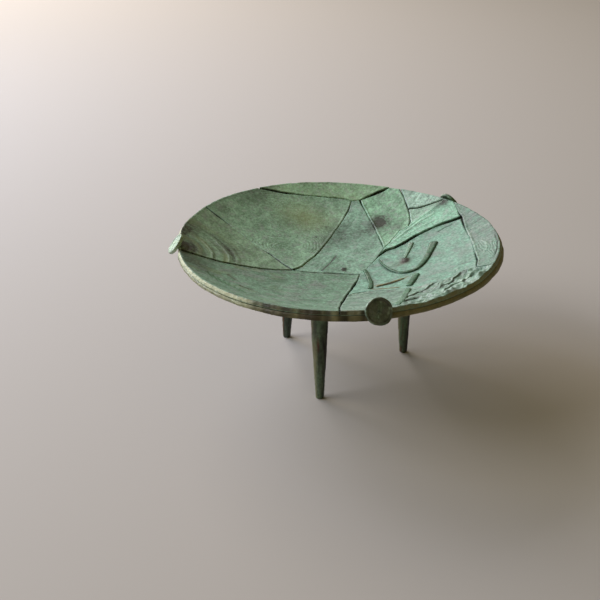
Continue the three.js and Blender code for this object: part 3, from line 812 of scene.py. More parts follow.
# Each plate: level, tilt along X and Y, relief, and its four sides taken anticlockwise.
PLATES = {
    "front_left_plate": (2.5, (0.002, 0.0), brushed_front, [
        arc(-132, FRONT), join(along("step"), along("heel")),
        join(back("middle"), back("left")), arc(LEFT, -132)]),
    "ring_plate": (3.2, (-0.004, 0.0), growth_rings, [
        along("left"), along("fan"), arc(FAN, 172), arc(172, 360 + LEFT)]),
    "grain_plate": (3.0, (0.0, 0.0), wood_grain, [
        along("grain"), along("back"), arc(BACK, FAN), back("fan")]),
    "back_plate": (3.6, (0.003, 0.0), flat_back, [
        back("back"), join(along("peak"), along("notch")), arc(NOTCH, 95), arc(95, BACK)]),
    "square_plate": (3.0, (-0.012, -0.004), hatched(60, 2.2, 0.06, 101), [
        along("fold"), join(along("crook"), along("shard")),
        join(arc(SHARD, NOTCH), back("notch")), along("square")]),
    "centre_plate": (2.5, (0.0, 0.008), middle, [
        along("middle"), join(back("neck"), back("chin")), back("square"),
        join(back("peak"), back("grain"))]),
    "shard_plate": (3.3, (0.0, 0.0), hatched(52, 1.7, 0.2, 103), [
        along("nook"), arc(NOOK, 53), arc(53, SHARD), back("shard")]),
    "wedge_plate": (2.8, (0.0, 0.0), hatched(25, 2.4, 0.08, 105), [
        along("wedge"), back("nook")[:2], back("nook")[1:], back("crook")]),
    "band_plate": (3.7, (0.0, 0.0), bright_band, [
        along("band"), along("tail"), join(arc(TAIL, NOOK), back("wedge"), back("fold")),
        along("chin")]),
    "hook_plate": (2.3, (0.0, 0.0), hook_field, [
        join(along("toe"), along("ragged")), along("right"), back("band"),
        join(along("neck"), back("heel"))]),
    "right_plate": (3.0, (0.0, 0.0), combed, [
        along("hip"), arc(RIGHT, 8), arc(8, TAIL), join(back("tail"), back("right"))]),
    "ragged_plate": (2.6, (0.0, 0.0), torn, [
        arc(SEAT, RIGHT), back("hip"), back("ragged"), back("seat")]),
    "front_plate": (2.5, (0.0, 0.0), striped, [
        arc(FRONT, SEAT), along("seat"), back("toe"), back("step")]),
}


# Where a seam's lip stands from the seam and how wide it is, how far in the face rounds down
# to the seam, and how far in the relief takes to reach its full strength.
LIP_AT, LIP_WIDTH = 1.1, 1.0
EDGE_ROUND = 0.9
RELIEF_INSET = 3


def plate_surface(seed, level, tilt, relief, sides, settings):
    """A plate's grid, its heights and its marks. The height is its level, its tilt, slow
    waves, its own relief, a lip along each seam, and a rounded drop at the very edge."""
    pitch = settings.mesh_pitch / MM
    x, y = patch(cut_back(sides), pitch)
    marks = no_marks(x.shape)
    outline = join(*sides)
    distance = np.full(x.shape, np.inf)
    gap, lip = np.zeros(x.shape), np.zeros(x.shape)
    for side in sides:
        d, share, _ = nearest(x, y, side)
        lengths = np.hypot(*np.diff(side[:, :2], axis=0).T)
        at = np.concatenate([[0], np.cumsum(lengths)]) / lengths.sum()
        closer = d < distance
        distance = np.where(closer, d, distance)
        gap = np.where(closer, np.interp(share, at, side[:, 2]), gap)
        lip = np.where(closer, np.interp(share, at, side[:, 3]), lip)
    middle_x, middle_y = outline[:, 0].mean(), outline[:, 1].mean()
    height = level + tilt[0] * (x - middle_x) + tilt[1] * (y - middle_y)
    height += 0.28 * noise(x, y, 30, 1, 2)
    edge = distance - gap / 2
    inside = smooth(0, RELIEF_INSET, edge)
    height += settings.relief * relief(x, y, marks) * (0.25 + 0.75 * inside)
    height += 0.55 * lip * bell(edge - LIP_AT, LIP_WIDTH)
    drop = np.minimum(gap, 1.4) * 0.45 + 0.25 * (gap == 0)
    height -= drop * (1 - smooth(0, EDGE_ROUND, edge)) ** 1.5
    # Painted shade: in patches, the face goes dark right at the edge of each open gap.
    cut = smooth(0.25, 1.2, gap)
    broken = 0.55 + 0.45 * smooth(-0.3, 0.4, noise(x, y, 5, 6, 2))
    marks["dark"] += cut * broken * (1 - smooth(0.0, 0.85, edge))
    # Browner and darker in patches for a few millimetres beside each open gap.
    seam_browning = smooth(-0.1, 0.5, noise(x, y, 8, 7))
    marks["soot"] += 0.3 * cut * (1 - smooth(0.3, 3.5, edge)) * seam_browning
    # A lighter crest along each raised lip: rubbed metal, and a painted highlight.
    crest = lip * bell(edge - 1.4, 0.9)
    marks["light"] += 0.9 * crest * smooth(-0.5, 0.3, noise(x, y, 11, 8))
    for centre, size, stretch, turn, strength in CLOUDS:
        marks["soot"] += strength * blob(x, y, centre, size, stretch, turn)
    radius, azimuth = polar(x, y)
    rim = rim_radius(azimuth) - radius
    marks["dark"] += 0.35 * (1 - smooth(0, 5, rim)) * smooth(-0.2, 0.6, noise(x, y, 6, 9, 2))
    marks["light"] += 0.35 * (1 - smooth(0, 1.6, rim)) * smooth(-0.4, 0.5, noise(x, y, 5, 10))
    # Small waves bend every seam a little, the same on both of its sides, and each plate's own
    # smaller waves open and close its gaps.
    wave_x = 0.5 * noise(x, y, 11, 13, 2) + 0.3 * noise(x, y, 6, 200 + seed, 2)
    wave_y = 0.5 * noise(x, y, 11, 14, 2) + 0.3 * noise(x, y, 6, 220 + seed, 2)
    fade = smooth(0, 6, rim)
    return x + wave_x * fade, y + wave_y * fade, height, marks


# ---------------------------------------------------------------- bars, discs, legs, shell

# Each bar: its path, its widths at the start and at the end, and its height.
BARS = {
    "hook_bar": ([(96.5, 38.5), (90.5, 20), (84.5, 4.5), (77, -7.5), (69, -11.5), (60, -9.5),
                  (51.5, 1), (45, 14), (43, 22)], 8.4, 1.4, 1.5),
    "tick_bar": ([(75, 47), (71, 33), (67, 19)], 6, 2.6, 1.0),
    "heel_bar": ([(28, 5), (31, -12), (33, -28), (32, -43)], 3.4, 5.4, 1.5),
    "brown_bar": ([(37.5, -37), (50, -32), (64, -25)], 2.8, 3.2, 0.9),
    "stub_bar": ([(76, -20), (72, -33), (67, -48)], 7, 6.4, 1.6),
    "rim_bar": ([(66, -58), (60, -88), (53, -120)], 6.4, 8, 1.7),
}
BAR_TONES = {
    "hook_bar": "#466a50", "tick_bar": "#7c9f87", "heel_bar": "#46694f",
    "brown_bar": "#75714f", "stub_bar": "#4b7257", "rim_bar": "#678b71",
}
DISC_SIDES, DISC_ROWS = 120, 110
LEG_SIDES, LEG_ROWS = 96, 150
SHELL_SIDES, SHELL_INNER_ROWS, SHELL_OUTER_ROWS = 480, 26, 150
BAR_POINTS_ACROSS = 11
# The braze behind a disc, the width of a disc's raised rim, and how far its face is sunk.
BRAZE_TIP, BRAZE_FOOT, BRAZE_DEPTH = 3.2, 3.8, 2.4
DISC_RIM_WIDTH = 2.1
FACE_SUNK = 0.35
DISC_TONES = {"left_disc": "#9db198", "front_disc": "#626c5b", "back_disc": "#4f6a4c"}
BAR_BASE = 2.0


def curve_through(points, count):
    """A Catmull-Rom curve through the points, taken at equal steps of its length."""
    p = np.asarray(points, float)
    p = np.concatenate([[2 * p[0] - p[1]], p, [2 * p[-1] - p[-2]]])
    t = np.linspace(0, 1, 24, endpoint=False)[:, None]
    pieces = []
    for a, b, c, d in zip(p[:-3], p[1:-2], p[2:-1], p[3:]):
        pieces.append(0.5 * (2 * b + (c - a) * t + (2 * a - 5 * b + 4 * c - d) * t**2
                             + (3 * b - 3 * c + d - a) * t**3))
    return resample(np.concatenate([*pieces, p[-2:-1]]), count)


def bar_surface(path, start_width, end_width, height, settings):
    """A bar along a curve: its width changes evenly from end to end, its section is a
    flattened arch, and its ends round off."""
    pitch = settings.mesh_pitch / MM
    count = int(path_length(path) / pitch * 1.3) + 2
    line = curve_through(path, count)
    tangent = np.gradient(line, axis=0)
    tangent /= np.linalg.norm(tangent, axis=1, keepdims=True)
    share = np.linspace(0, 1, count)
    half = (start_width + (end_width - start_width) * share) / 2
    half = half * (1 + 0.12 * noise(share * 90, 0 * share, 9, 15, 2))
    from_end = np.minimum(share, 1 - share) * path_length(line)
    half = half * np.sqrt(np.clip(1 - (1 - np.minimum(from_end / 1.6, 1)) ** 2, 0.15, 1))
    across = np.linspace(-1, 1, BAR_POINTS_ACROSS)[:, None]
    x = line[None, :, 0] + tangent[None, :, 1] * half * across * -1
    y = line[None, :, 1] + tangent[None, :, 0] * half * across
    arch = np.clip(1 - np.abs(across) ** 5, 0, 1) ** 0.6
    ends = np.sqrt(np.clip(1 - (1 - np.minimum(from_end / 1.8, 1)) ** 2, 0.05, 1))
    top = BAR_BASE + 0.3 + height * arch * ends * (1 + 0.12 * noise(x, y, 4, 16, 2))
    marks = no_marks(x.shape)
    # Lighter patches on the top: rubbed metal, and a painted highlight.
    marks["light"] += 0.25 * smooth(0.1, 0.7, noise(x, y, 4, 17, 2)) * arch
    # Darker down both edges, where the bar meets the plate: painted shade.
    marks["dark"] += 0.5 * (1 - arch)
    return x, y, top, marks


def lathe(profile, around, rough):
    """A closed surface turned round the Z axis from a profile of (radius, height) rows that
    starts and ends on the axis. rough(angle, s) moves each point outwards, where s is the
    length along the profile. Returns the points, the faces and each point's angle."""
    body = profile[1:-1]
    steps = np.hypot(*np.diff(profile, axis=0).T)
    s = np.cumsum(steps)[:-1][:, None]
    angle = np.linspace(0, 2 * math.pi, around, endpoint=False)[None, :]
    slope = np.gradient(body, axis=0)
    slope /= np.maximum(np.linalg.norm(slope, axis=1, keepdims=True), 1e-9)
    push = rough(angle + 0 * s, s + 0 * angle)
    radius = body[:, :1] + slope[:, 1:] * push
    z = body[:, 1:] - slope[:, :1] * push
    points = np.stack([radius * np.cos(angle), radius * np.sin(angle), z], axis=-1).reshape(-1, 3)
    first, last = np.array([[0, 0, profile[0, 1]]]), np.array([[0, 0, profile[-1, 1]]])
    count = len(points)
    grid = np.arange(count).reshape(len(body), around)
    ring = np.concatenate([grid, grid[:, :1]], axis=1)
    faces = quads(ring).tolist() + fan(ring[0], count, True) + fan(ring[-1], count + 1, False)
    angles = np.append((angle + 0 * s).ravel(), [0, 0])
    return np.concatenate([points, first, last]), faces, angles


def rounded(points, count):
    """A profile at equal steps, with its corners eased by two rounds of averaging."""
    path = resample(points, count)
    for _ in range(2):
        path[1:-1] = (path[:-2] + 2 * path[1:-1] + path[2:]) / 4
    return path


def disc_points(radius, azimuth, facing, lift, off, seat, seed, settings):
    """A worn coin: flat faces with a low raised rim and soft blurred relief, and a lump of
    braze behind it, turned to face its own way."""
    radius = radius * settings.disc_size
    thick = settings.disc_thickness / MM
    face = thick - FACE_SUNK
    outline = [(0, -BRAZE_DEPTH), (BRAZE_TIP, -BRAZE_DEPTH), (BRAZE_FOOT, 0),
               (radius - 1.6, 0), (radius - 0.5, 0.05),
               (radius, 0.6), (radius, thick - 0.6), (radius - 0.5, thick),
               (radius - 1.5, thick - 0.05), (radius - DISC_RIM_WIDTH, face), (0, face)]
    profile = rounded(outline, DISC_ROWS)

    def rough(angle, s):
        x, y = s * np.cos(angle), s * np.sin(angle)
        return 0.16 * noise(x, y, 4.5, seed, 2) + 0.1 * noise(x, y, 1.6, seed + 1, 2)

    points, faces, angles = lathe(profile, DISC_SIDES, rough)
    wobble = 1 + 0.018 * np.cos(3 * angles + seed) + 0.012 * np.cos(5 * angles - seed)
    points[:, :2] *= wobble[:, None]
    a = math.radians(azimuth)
    rim = (trimmed_radius(azimuth) - seat) * np.array([math.cos(a), math.sin(a)])
    base = on_skin(rim[0], rim[1], EDGE_MIDDLE)
    level, rise = (math.radians(angle) for angle in facing)
    flat = Vector((math.cos(level), math.sin(level), 0))
    up = Vector((0, 0, 1))
    out = flat * math.cos(rise) + up * math.sin(rise)
    steep = up * math.cos(rise) - flat * math.sin(rise)
    turn = np.array(up.rotation_difference(out).to_matrix())
    local = points.copy()
    points = points @ turn.T + base + np.array(out * off + steep * lift)
    marks = no_marks(len(points))
    r = np.hypot(local[:, 0], local[:, 1])
    u, v = local[:, 0], local[:, 1]
    edge = smooth(radius - 1.2, radius - 0.2, r)
    marks["light"] += 0.4 * edge * smooth(-0.2, 0.5, noise(u, v, 6, seed + 2))
    marks["dark"] += 0.4 * bell(r - radius + 2.2, 0.5)
    marks["green"] += 0.35 * smooth(0.0, 0.6, noise(u, v, 5, seed + 3, 2))
    marks["dark"] += 0.5 * smooth(0.0, 0.6, noise(u, v, 7, seed + 4, 2))
    marks["light"] += 0.8 * smooth(0.1, 0.6, noise(u, v, 4, seed + 5, 2))
    return points, faces, marks


def node_points(name):
    """A CAD node's own points, in millimetres."""
    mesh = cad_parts[name].data
    points = np.zeros(len(mesh.vertices) * 3, np.float32)
    mesh.vertices.foreach_get("co", points)
    return points.reshape(-1, 3).astype(float) / MM


def leg_ends(name):
    """The middle of a leg's foot, and of its top, in plan."""
    points = node_points(name)
    foot = points[points[:, 2] < 0.05][:, :2]
    top = points[points[:, 2] > points[:, 2].max() - 0.05][:, :2]
    return (foot.min(0) + foot.max(0)) / 2, (top.min(0) + top.max(0)) / 2


LEGS = ("front_leg", "right_leg", "back_left_leg")
LEG_TONES = {"front_leg": "#5c7159", "right_leg": "#5c7159", "back_left_leg": "#3c4b3b"}
SHELL_TONE = "#7c7f5e"
FOOT_WEAR = 0.7
LEG_INSET, LEG_RISE = 1.2, 1.5  # a leg's top goes into the shell: along the normal, and up
# The bead of braze round a leg, on the shell.
BEAD_HEIGHT, BEAD_RADIUS, BEAD_FADE = 1.4, 8.5, 1.6


def underside(x, y):
    """The shell's outer face as a height: thicker at the edge, most at the front and right."""
    t = np.hypot(x, y) / RIM_RADIUS
    heavy = np.clip(-y / RIM_RADIUS, 0, None) ** 3 + np.clip(x / RIM_RADIUS, 0, None) ** 3
    return -(SHELL_THICKNESS + LIP_EXTRA * t**4 + HEAVY_LIP_EXTRA * heavy)


def leg_points(name, seed, settings):
    """A tapered cast leg: the radius grows from foot to top with a slight swell half way,
    flares into a bead of braze under the shell, and the foot's edge is worn round."""
    foot, top = leg_ends(name)
    x, y = top[0] - BOWL_CENTRE[0], top[1] - BOWL_CENTRE[1]
    high = on_skin(x, y, underside(x, y) + LEG_INSET)[2] + LEG_RISE
    low_radius, high_radius = settings.foot_radius / MM, settings.leg_top_radius / MM
    t = np.linspace(0, 1, LEG_ROWS)
    radius = low_radius + (high_radius - low_radius) * (t + 0.25 * t * (1 - t))
    radius = radius + 1.8 * np.exp(-((1 - t) * high - 4) / 1.6) * (t > 0.9) * 0.55
    radius = np.minimum(radius, high_radius + 2.4)
    worn = FOOT_WEAR * np.clip(1 - t * high / 0.9, 0, 1) ** 2
    side = np.stack([radius - worn, t * high], axis=-1)
    sole = [((low_radius - FOOT_WEAR) * k / 4, 0) for k in range(4)]
    crown = [(radius[-1] * k / 4, high) for k in (3, 2, 1, 0)]
    profile = np.concatenate([sole, side, crown])

    def rough(angle, s):
        u, v = 7 * np.cos(angle), 7 * np.sin(angle)
        cast = 0.28 * noise(u + s * 0.35, v - s * 0.21, 5, seed, 3)
        cast = cast + 0.16 * noise(u * 1.5, s + v, 2.4, seed + 1, 2)
        return cast * np.minimum(s / 8, 1)

    points, faces, angles = lathe(profile, LEG_SIDES, rough)
    share = np.clip(points[:, 2:3] / high, 0, 1)
    points[:, :2] += foot + (top - foot) * share
    points[:, 2] = np.clip(points[:, 2], 0, None)
    marks = no_marks(len(points))
    u, v = 7 * np.cos(angles), 7 * np.sin(angles)
    z = points[:, 2]
    # around is near 1 on the leg's side towards the lamps at the left, and near -1 on the far side,
    # with noise.
    around = -np.cos(angles) + 0.5 * noise(u, v + z * 0.3, 8, seed + 6, 2)
    left, right = smooth(0.3, 1.0, around), smooth(0.0, 0.9, -around)
    patches = smooth(-0.05, 0.3, noise(u, v + 0.12 * z, 5, seed + 2, 2)) * smooth(90, 62, z)
    marks["rust"] += 1.5 * smooth(-0.2, 0.6, around) * patches
    # Paler olive brown down the side towards the lamps: painted light.
    marks["umber"] += 0.8 * left * (1 - patches)
    marks["green"] += 0.6 * smooth(0.0, 0.6, noise(u, v + 0.15 * z, 6, seed + 3, 2))
    marks["light"] += 0.6 * smooth(0.45, 0.8, noise(u, v + 0.3 * z, 3.2, seed + 4, 2))
    # Darker down the side away from the lamps: painted shade, with some mottling.
    marks["dark"] += 0.7 * right + 0.6 * smooth(0.0, 0.5, noise(u, v + 0.15 * z, 5, seed + 5, 2))
    # Lighter down the side that faces the lamps: painted highlight.
    marks["light"] += 0.7 * smooth(0.75, 1.0, -np.cos(angles)) * (1 - patches)
    return points, faces, marks


LEFT_SET_BACK = 1.4  # at the left, the shell's edge lies this far inside the plates'


def shell_points():
    """The dished shell as one turned surface: inner face, rounded edge and underside. The
    underside has the lumps of a rough casting and a bead of braze round each leg."""
    azimuth = np.linspace(-180, 180, SHELL_SIDES, endpoint=False)[None, :]
    at_left = smooth(-100, -125, azimuth) + smooth(150, 170, azimuth)
    rim = rim_radius(azimuth) - 0.1 - LEFT_SET_BACK * at_left
    a = np.radians(azimuth)
    inner = np.linspace(0, 1, SHELL_INNER_ROWS)[1:, None] ** 0.8
    outer = np.linspace(1, 0, SHELL_OUTER_ROWS)[:-1, None] ** 0.9
    thick = underside(rim * np.cos(a), rim * np.sin(a))
    rows = []
    x, y = inner * rim * np.cos(a), inner * rim * np.sin(a)
    rows.append((x, y, -SHELL_TURN * smooth(0.95, 0.975, inner + 0 * x)))
    for share in (0.12, 0.3, 0.5, 0.7, 0.88):
        push = 0.5 * math.sin(math.pi * share)
        rough = 0.4 * noise(rim * np.cos(a), rim * np.sin(a) + 40 * share, 4, 111, 2)
        radius = rim + push + rough
        height = -SHELL_TURN + (thick + SHELL_TURN) * share
        rows.append((radius * np.cos(a), radius * np.sin(a), height))
    x, y = outer * rim * np.cos(a), outer * rim * np.sin(a)
    h = underside(x, y)
    lumps = 0.35 * noise(x, y, 22, 113, 3) + 0.16 * noise(x, y, 4, 114, 2)
    bead = 0 * x
    for name in LEGS:
        _, top = leg_ends(name)
        distance = np.hypot(x + BOWL_CENTRE[0] - top[0], y + BOWL_CENTRE[1] - top[1])
        lumpy = 1 + 0.4 * noise(x, y, 4, 115, 2)
        beyond = np.clip(distance - BEAD_RADIUS, 0, None)
        bead += BEAD_HEIGHT * np.exp(-beyond / BEAD_FADE) * lumpy
    rows.append((x, y, h + lumps - bead))
    x, y, h = (np.concatenate([row[k] for row in rows]) for k in range(3))
    points = on_skin(x, y, h)
    count = points.shape[0] * points.shape[1]
    grid = np.arange(count).reshape(x.shape)
    ring = np.concatenate([grid, grid[:, :1]], axis=1)
    faces = quads(ring)[:, ::-1].tolist()
    faces += fan(ring[0], count, False) + fan(ring[-1], count + 1, True)
    top_pole, low_pole = on_skin(0, 0, 0.0), on_skin(0, 0, -SHELL_THICKNESS)
    points = np.concatenate([points.reshape(-1, 3), [top_pole, low_pole]])
    marks = no_marks(len(points))
    fx, fy = np.append(x.ravel(), [0, 0]), np.append(y.ravel(), [0, 0])
    fh = np.append(h.ravel(), [0, -SHELL_THICKNESS])
    # The inner face shows only through the gaps between the plates, and is painted near black
    # there: painted shade. The rest is mottling.
    marks["dark"] += 0.9 * (fh > -0.05) + 0.25 * smooth(0.1, 0.6, noise(fx, fy, 9, 116, 3))
    near_edge = smooth(TURN_FROM, TURN_TO, np.hypot(fx, fy) / RIM_RADIUS)
    edge = rim_marks(fx, fy, no_marks(fx.shape))
    for key in ("cream", "umber", "rust", "dark"):
        marks[key] += (0.35 if key == "cream" else 0.9) * near_edge * edge[key]
    inside = 1 - near_edge
    marks["rust"] += 0.4 * inside * smooth(0.2, 0.6, noise(fx, fy, 16, 117, 2))
    marks["green"] += 0.7 * inside * smooth(-0.1, 0.5, noise(fx, fy, 20, 118, 3))
    return points, faces, marks


# ---------------------------------------------------------------- materials


def add(tree, kind, inputs=None, **settings):
    """Adds a node, sets its properties, and fills its inputs: a socket is linked, and any
    other value is stored."""
    made = tree.nodes.new(kind)
    for key, value in settings.items():
        setattr(made, key, value)
    for key, value in (inputs or {}).items():
        if isinstance(value, bpy.types.NodeSocket):
            tree.links.new(value, made.inputs[key])
        else:
            made.inputs[key].default_value = value
    return made


BUMP_STRENGTH = 0.8


def patina(name, roughness, metal, grit):
    """Bronze under a patina, which is a thin crust of copper salts: matt and chalky where it
    is thick and green, browner and a little shiny where the metal is close below it. The
    crust's own colour is the piece's tone, and noise mottles it with grey-violet bloom, pale
    dust and dark specks. The marks then lay on their stains, and the dark and light marks
    also lay on painted shade and painted highlights."""
    material = bpy.data.materials.new(name)
    material.use_nodes = True
    tree = material.node_tree
    tree.nodes.clear()
    place = add(tree, "ShaderNodeTexCoord").outputs["Object"]
    per_metre = 1 / MM

    def cloud(size, detail, seed, distortion=0.0):
        """Noise with features of a size in millimetres."""
        shifted = add(tree, "ShaderNodeMapping", {
            "Vector": place, "Location": (seed, seed * 2, -seed)})
        made = add(tree, "ShaderNodeTexNoise", {
            "Vector": shifted.outputs[0], "Scale": per_metre / size, "Detail": detail,
            "Roughness": 0.6, "Distortion": distortion})
        return made.outputs["Fac"]

    def steps(value, low, high, to_low=0.0, to_high=1.0):
        ramp = add(tree, "ShaderNodeMapRange", {
            "Value": value, "From Min": low, "From Max": high, "To Min": to_low, "To Max": to_high},
            interpolation_type="SMOOTHSTEP")
        return ramp.outputs[0]

    def times(a, b):
        made = add(tree, "ShaderNodeMath", {0: a, 1: b}, operation="MULTIPLY", use_clamp=True)
        return made.outputs[0]

    def mark(key):
        return add(tree, "ShaderNodeAttribute", attribute_name=key).outputs["Fac"]

    def mix(share, a, b):
        b = (*linear(b), 1) if isinstance(b, str) else b
        return add(tree, "ShaderNodeMix", {0: share, 6: a, 7: b}, data_type="RGBA").outputs[2]

    def scaled(colour, factor):
        made = add(tree, "ShaderNodeVectorMath", {0: colour, "Scale": factor}, operation="SCALE")
        return made.outputs[0]

    tone = add(tree, "ShaderNodeAttribute", attribute_name="tone").outputs["Color"]
    broad, patchy = cloud(30, 4, 0.1, 0.4), cloud(9, 5, 0.2, 0.3)
    fine, speck = cloud(2.6, 5, 0.3), cloud(1.3, 3, 0.4)
    colour = scaled(tone, steps(broad, 0.3, 0.7, 0.9, 1.12))
    colour = scaled(colour, steps(patchy, 0.32, 0.68, 0.82, 1.2))
    colour = scaled(colour, steps(fine, 0.32, 0.68, 0.74, 1.3))
    bloom = steps(cloud(6, 5, 0.5, 0.6), 0.48, 0.64, 0.0, 0.34)
    colour = mix(bloom, colour, scaled(add(tree, "ShaderNodeRGBToBW", {0: tone}).outputs[0], 1.0))
    colour = mix(times(mark("violet"), steps(fine, 0.3, 0.62)), colour, "#928e90")
    colour = mix(times(mark("green"), 0.6), colour, "#4f7d58")
    colour = mix(times(mark("olive"), 0.7), colour, "#8b9560")
    # The light mark is rubbed metal, and in places a painted highlight: on the seams' lips, the
    # bars, the torn steps and the legs' side towards the lamps.
    worn = times(mark("light"), steps(fine, 0.3, 0.6))
    colour = mix(times(worn, 0.8), colour, "#b4cfba")
    colour = mix(steps(speck, 0.58, 0.72, 0.0, 0.55), colour, "#3c4a3c")
    rusty = times(mark("rust"), steps(patchy, 0.3, 0.55))
    colour = mix(times(rusty, 0.85), colour, "#5e3320")
    smoke = times(mark("soot"), steps(cloud(2.6, 4, 0.6), 0.3, 0.7, 0.45, 1.0))
    colour = mix(times(smoke, 0.9), colour, "#2a201b")
    pale = times(mark("cream"), steps(fine, 0.25, 0.5))
    colour = mix(times(pale, 0.9), colour, "#d3d6b3")
    bare = times(mark("umber"), steps(patchy, 0.2, 0.5))
    colour = mix(times(bare, 0.85), colour, "#8a8260")
    # The dark mark is dark lines, specks and stains, and in places painted shade: beside and in the
    # seams' gaps, on the shell's inner face, at the foot of steps and bars, and on the legs' side
    # away from the lamps.
    colour = mix(times(mark("dark"), 0.9), colour, "#1a1812")

    grains = {0: times(fine, 0.7), 1: times(speck, 0.3)}
    height = add(tree, "ShaderNodeMath", grains, operation="ADD").outputs[0]
    bump = add(tree, "ShaderNodeBump", {
        "Strength": BUMP_STRENGTH, "Distance": grit * MM, "Height": height})
    gloss = steps(patchy, 0.3, 0.7, roughness - 0.1, roughness + 0.12)
    shader = add(tree, "ShaderNodeBsdfPrincipled", {
        "Base Color": colour, "Metallic": metal, "Roughness": gloss, "Normal": bump.outputs[0]})
    add(tree, "ShaderNodeOutputMaterial", {"Surface": shader.outputs[0]})
    return material


def verdigris():
    """Cast bronze with a waxed blue-green verdigris: the lining."""
    return patina("waxed_verdigris_bronze", 0.56, 0.0, 0.35)


def dark_bronze():
    """Cast bronze with a thin dark brown-green crust: discs and legs."""
    return patina("dark_patinated_bronze", 0.5, 0.25, 0.4)


def olive_bronze():
    """Cast bronze with an olive-brown crust, rubbed by handling: the outside."""
    return patina("olive_patinated_bronze", 0.5, 0.25, 0.4)


# ---------------------------------------------------------------- operators


class BOWL_OT_plates(bpy.types.Operator):
    """Makes the plates of the lining"""

    bl_idname = "bowl.plates"
    bl_label = "Lining Plates"

    def execute(self, context):
        settings = context.scene.bowl
        material = verdigris()
        for seed, (name, (level, tilt, relief, sides)) in enumerate(PLATES.items()):
            x, y, top, marks = plate_surface(seed, level, tilt, relief, sides, settings)
            points, faces, marks = slab(x, y, top, plate_bottom(x, y), marks, 0.4)
            make_piece(name, points, faces, marks, TONES[name], material)
        return {"FINISHED"}


class BOWL_OT_bars(bpy.types.Operator):
    """Makes the bars laid on the lining"""

    bl_idname = "bowl.bars"
    bl_label = "Bars"

    def execute(self, context):
        settings = context.scene.bowl
        material = patina("green_bar_bronze", 0.5, 0.2, 0.35)
        for name, (path, start, end, height) in BARS.items():
            x, y, top, marks = bar_surface(path, start, end, height, settings)
            points, faces, marks = slab(x, y, top, 0 * x + BAR_BASE - 0.5, marks, 0.15)
            make_piece(name, points, faces, marks, BAR_TONES[name], material)
        return {"FINISHED"}


class BOWL_OT_discs(bpy.types.Operator):
    """Makes the three coin-like discs"""

    bl_idname = "bowl.discs"
    bl_label = "Rim Discs"

    def execute(self, context):
        material = dark_bronze()
        for seed, (name, placing) in enumerate(DISCS.items()):
            points, faces, marks = disc_points(*placing, 200 + 10 * seed, context.scene.bowl)
            make_piece(name, points, faces, marks, DISC_TONES[name], material)
        return {"FINISHED"}


class BOWL_OT_legs(bpy.types.Operator):
    """Makes the three legs"""

    bl_idname = "bowl.legs"
    bl_label = "Legs"

    def execute(self, context):
        material = dark_bronze()
        for seed, name in enumerate(LEGS):
            points, faces, marks = leg_points(name, 300 + 10 * seed, context.scene.bowl)
            make_piece(name, points, faces, marks, LEG_TONES[name], material)
        return {"FINISHED"}


class BOWL_OT_shell(bpy.types.Operator):
    """Makes the dished shell"""

    bl_idname = "bowl.shell"
    bl_label = "Shell"

    def execute(self, context):
        points, faces, marks = shell_points()
        make_piece("shell", points, faces, marks, SHELL_TONE, olive_bronze())
        return {"FINISHED"}


def area_light(name, place, size, power, colour):
    """A square area light that faces the bowl from a place, in metres and watts."""
    data = bpy.data.lights.new(name, "AREA")
    data.size, data.energy, data.color = size, power, colour
    made = bpy.data.objects.new(name, data)
    bpy.context.scene.collection.objects.link(made)
    made.location = place
    towards_bowl = Vector(LIGHT_TARGET) - Vector(place)
    made.rotation_euler = towards_bowl.to_track_quat("-Z", "Y").to_euler()


LIGHT_TARGET = (0, 0, 0.1)
FLOOR_HALF = 6.0  # metres
FLOOR_ROUGHNESS = 0.9
ROOM_COLOUR = (1.0, 0.82, 0.35, 1)  # linear

# The camera: millimetres back from the bowl's centre and above the floor, and degrees that it
# looks down and turns left.
CAMERA_BACK, CAMERA_HEIGHT = 905.4, 531.0
CAMERA_DOWN, CAMERA_TURN = 27.11, 2.15
SENSOR_WIDTH = 36.0

# Soft studio lights: place and size in metres, power in parts of light_power, and colour. A
# large one on the left, a second further back that whitens the far floor, and a small cool
# one between.
LIGHTS = (
    ("left_window", (-2.4, -0.2, 1.7), 1.6, 0.43, (0.92, 0.92, 0.96)),
    ("back_window", (-1.5, 2.1, 1.3), 2.0, 0.6, (1.0, 0.93, 0.9)),
    ("corner_window", (-1.3, 0.7, 1.0), 0.9, 0.104, (0.55, 0.68, 1.0)),
)


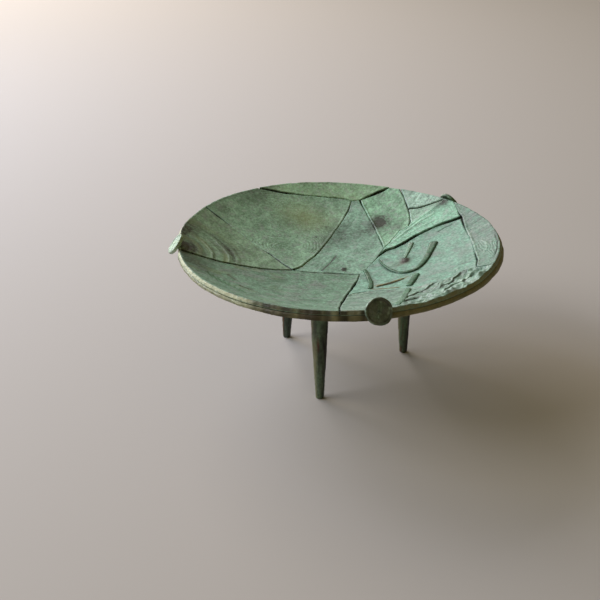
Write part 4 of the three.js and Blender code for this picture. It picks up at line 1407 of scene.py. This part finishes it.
class BOWL_OT_stage(bpy.types.Operator):
    """Makes the floor, the camera and the lights"""

    bl_idname = "bowl.stage"
    bl_label = "Stage"

    def execute(self, context):
        scene, settings = context.scene, context.scene.bowl_stage
        mesh = bpy.data.meshes.new("floor")
        half = FLOOR_HALF
        corners = [(-half, -half, 0), (half, -half, 0), (half, half, 0), (-half, half, 0)]
        mesh.from_pydata(corners, [], [(0, 1, 2, 3)])
        floor = bpy.data.objects.new("floor", mesh)
        scene.collection.objects.link(floor)
        paper = bpy.data.materials.new("matt_grey_paper")
        paper.use_nodes = True
        shader = paper.node_tree.nodes["Principled BSDF"]
        shader.inputs["Base Color"].default_value = (*settings.floor_colour, 1)
        shader.inputs["Roughness"].default_value = FLOOR_ROUGHNESS
        mesh.materials.append(paper)

        camera = bpy.data.objects.new("camera", bpy.data.cameras.new("camera"))
        scene.collection.objects.link(camera)
        camera.data.lens = settings.lens
        camera.data.sensor_width = SENSOR_WIDTH
        x, y = BOWL_CENTRE
        camera.location = (x * MM, (y - CAMERA_BACK) * MM, CAMERA_HEIGHT * MM)
        camera.rotation_euler = (math.radians(90 - CAMERA_DOWN), 0, math.radians(CAMERA_TURN))
        scene.camera = camera

        for name, place, size, part, colour in LIGHTS:
            area_light(name, place, size, part * settings.light_power, colour)
        world = bpy.data.worlds.new("room")
        scene.world = world
        world.use_nodes = True
        background = world.node_tree.nodes["Background"]
        background.inputs["Color"].default_value = ROOM_COLOUR
        background.inputs["Strength"].default_value = settings.fill
        scene.view_settings.view_transform = "Standard"
        return {"FINISHED"}


OPERATORS = (
    BOWL_OT_shell, BOWL_OT_plates, BOWL_OT_bars, BOWL_OT_discs, BOWL_OT_legs, BOWL_OT_stage,
)


class BOWL_PT_panel(bpy.types.Panel):
    """Lists the bowl's settings and its pieces"""

    bl_idname = "BOWL_PT_panel"
    bl_label = "Bronze Bowl"
    bl_space_type = "VIEW_3D"
    bl_region_type = "UI"
    bl_category = "Bronze Bowl"

    def draw(self, context):
        for group in (context.scene.bowl, context.scene.bowl_stage):
            for key in group.bl_rna.properties.keys():
                if key not in ("rna_type", "name"):
                    self.layout.prop(group, key)
        for operator in OPERATORS:
            self.layout.operator(operator.bl_idname)


CLASSES = (BowlSettings, StageSettings, *OPERATORS, BOWL_PT_panel)


def register():
    for item in CLASSES:
        bpy.utils.register_class(item)
    bpy.types.Scene.bowl = bpy.props.PointerProperty(type=BowlSettings)
    bpy.types.Scene.bowl_stage = bpy.props.PointerProperty(type=StageSettings)


def unregister():
    del bpy.types.Scene.bowl_stage
    del bpy.types.Scene.bowl
    for item in reversed(CLASSES):
        bpy.utils.unregister_class(item)


def main():
    register()
    bpy.ops.bowl.shell()
    bpy.ops.bowl.plates()
    bpy.ops.bowl.bars()
    bpy.ops.bowl.discs()
    bpy.ops.bowl.legs()
    bpy.ops.bowl.stage()
    bpy.context.view_layer.update()


if __name__ == "__main__":
    main()
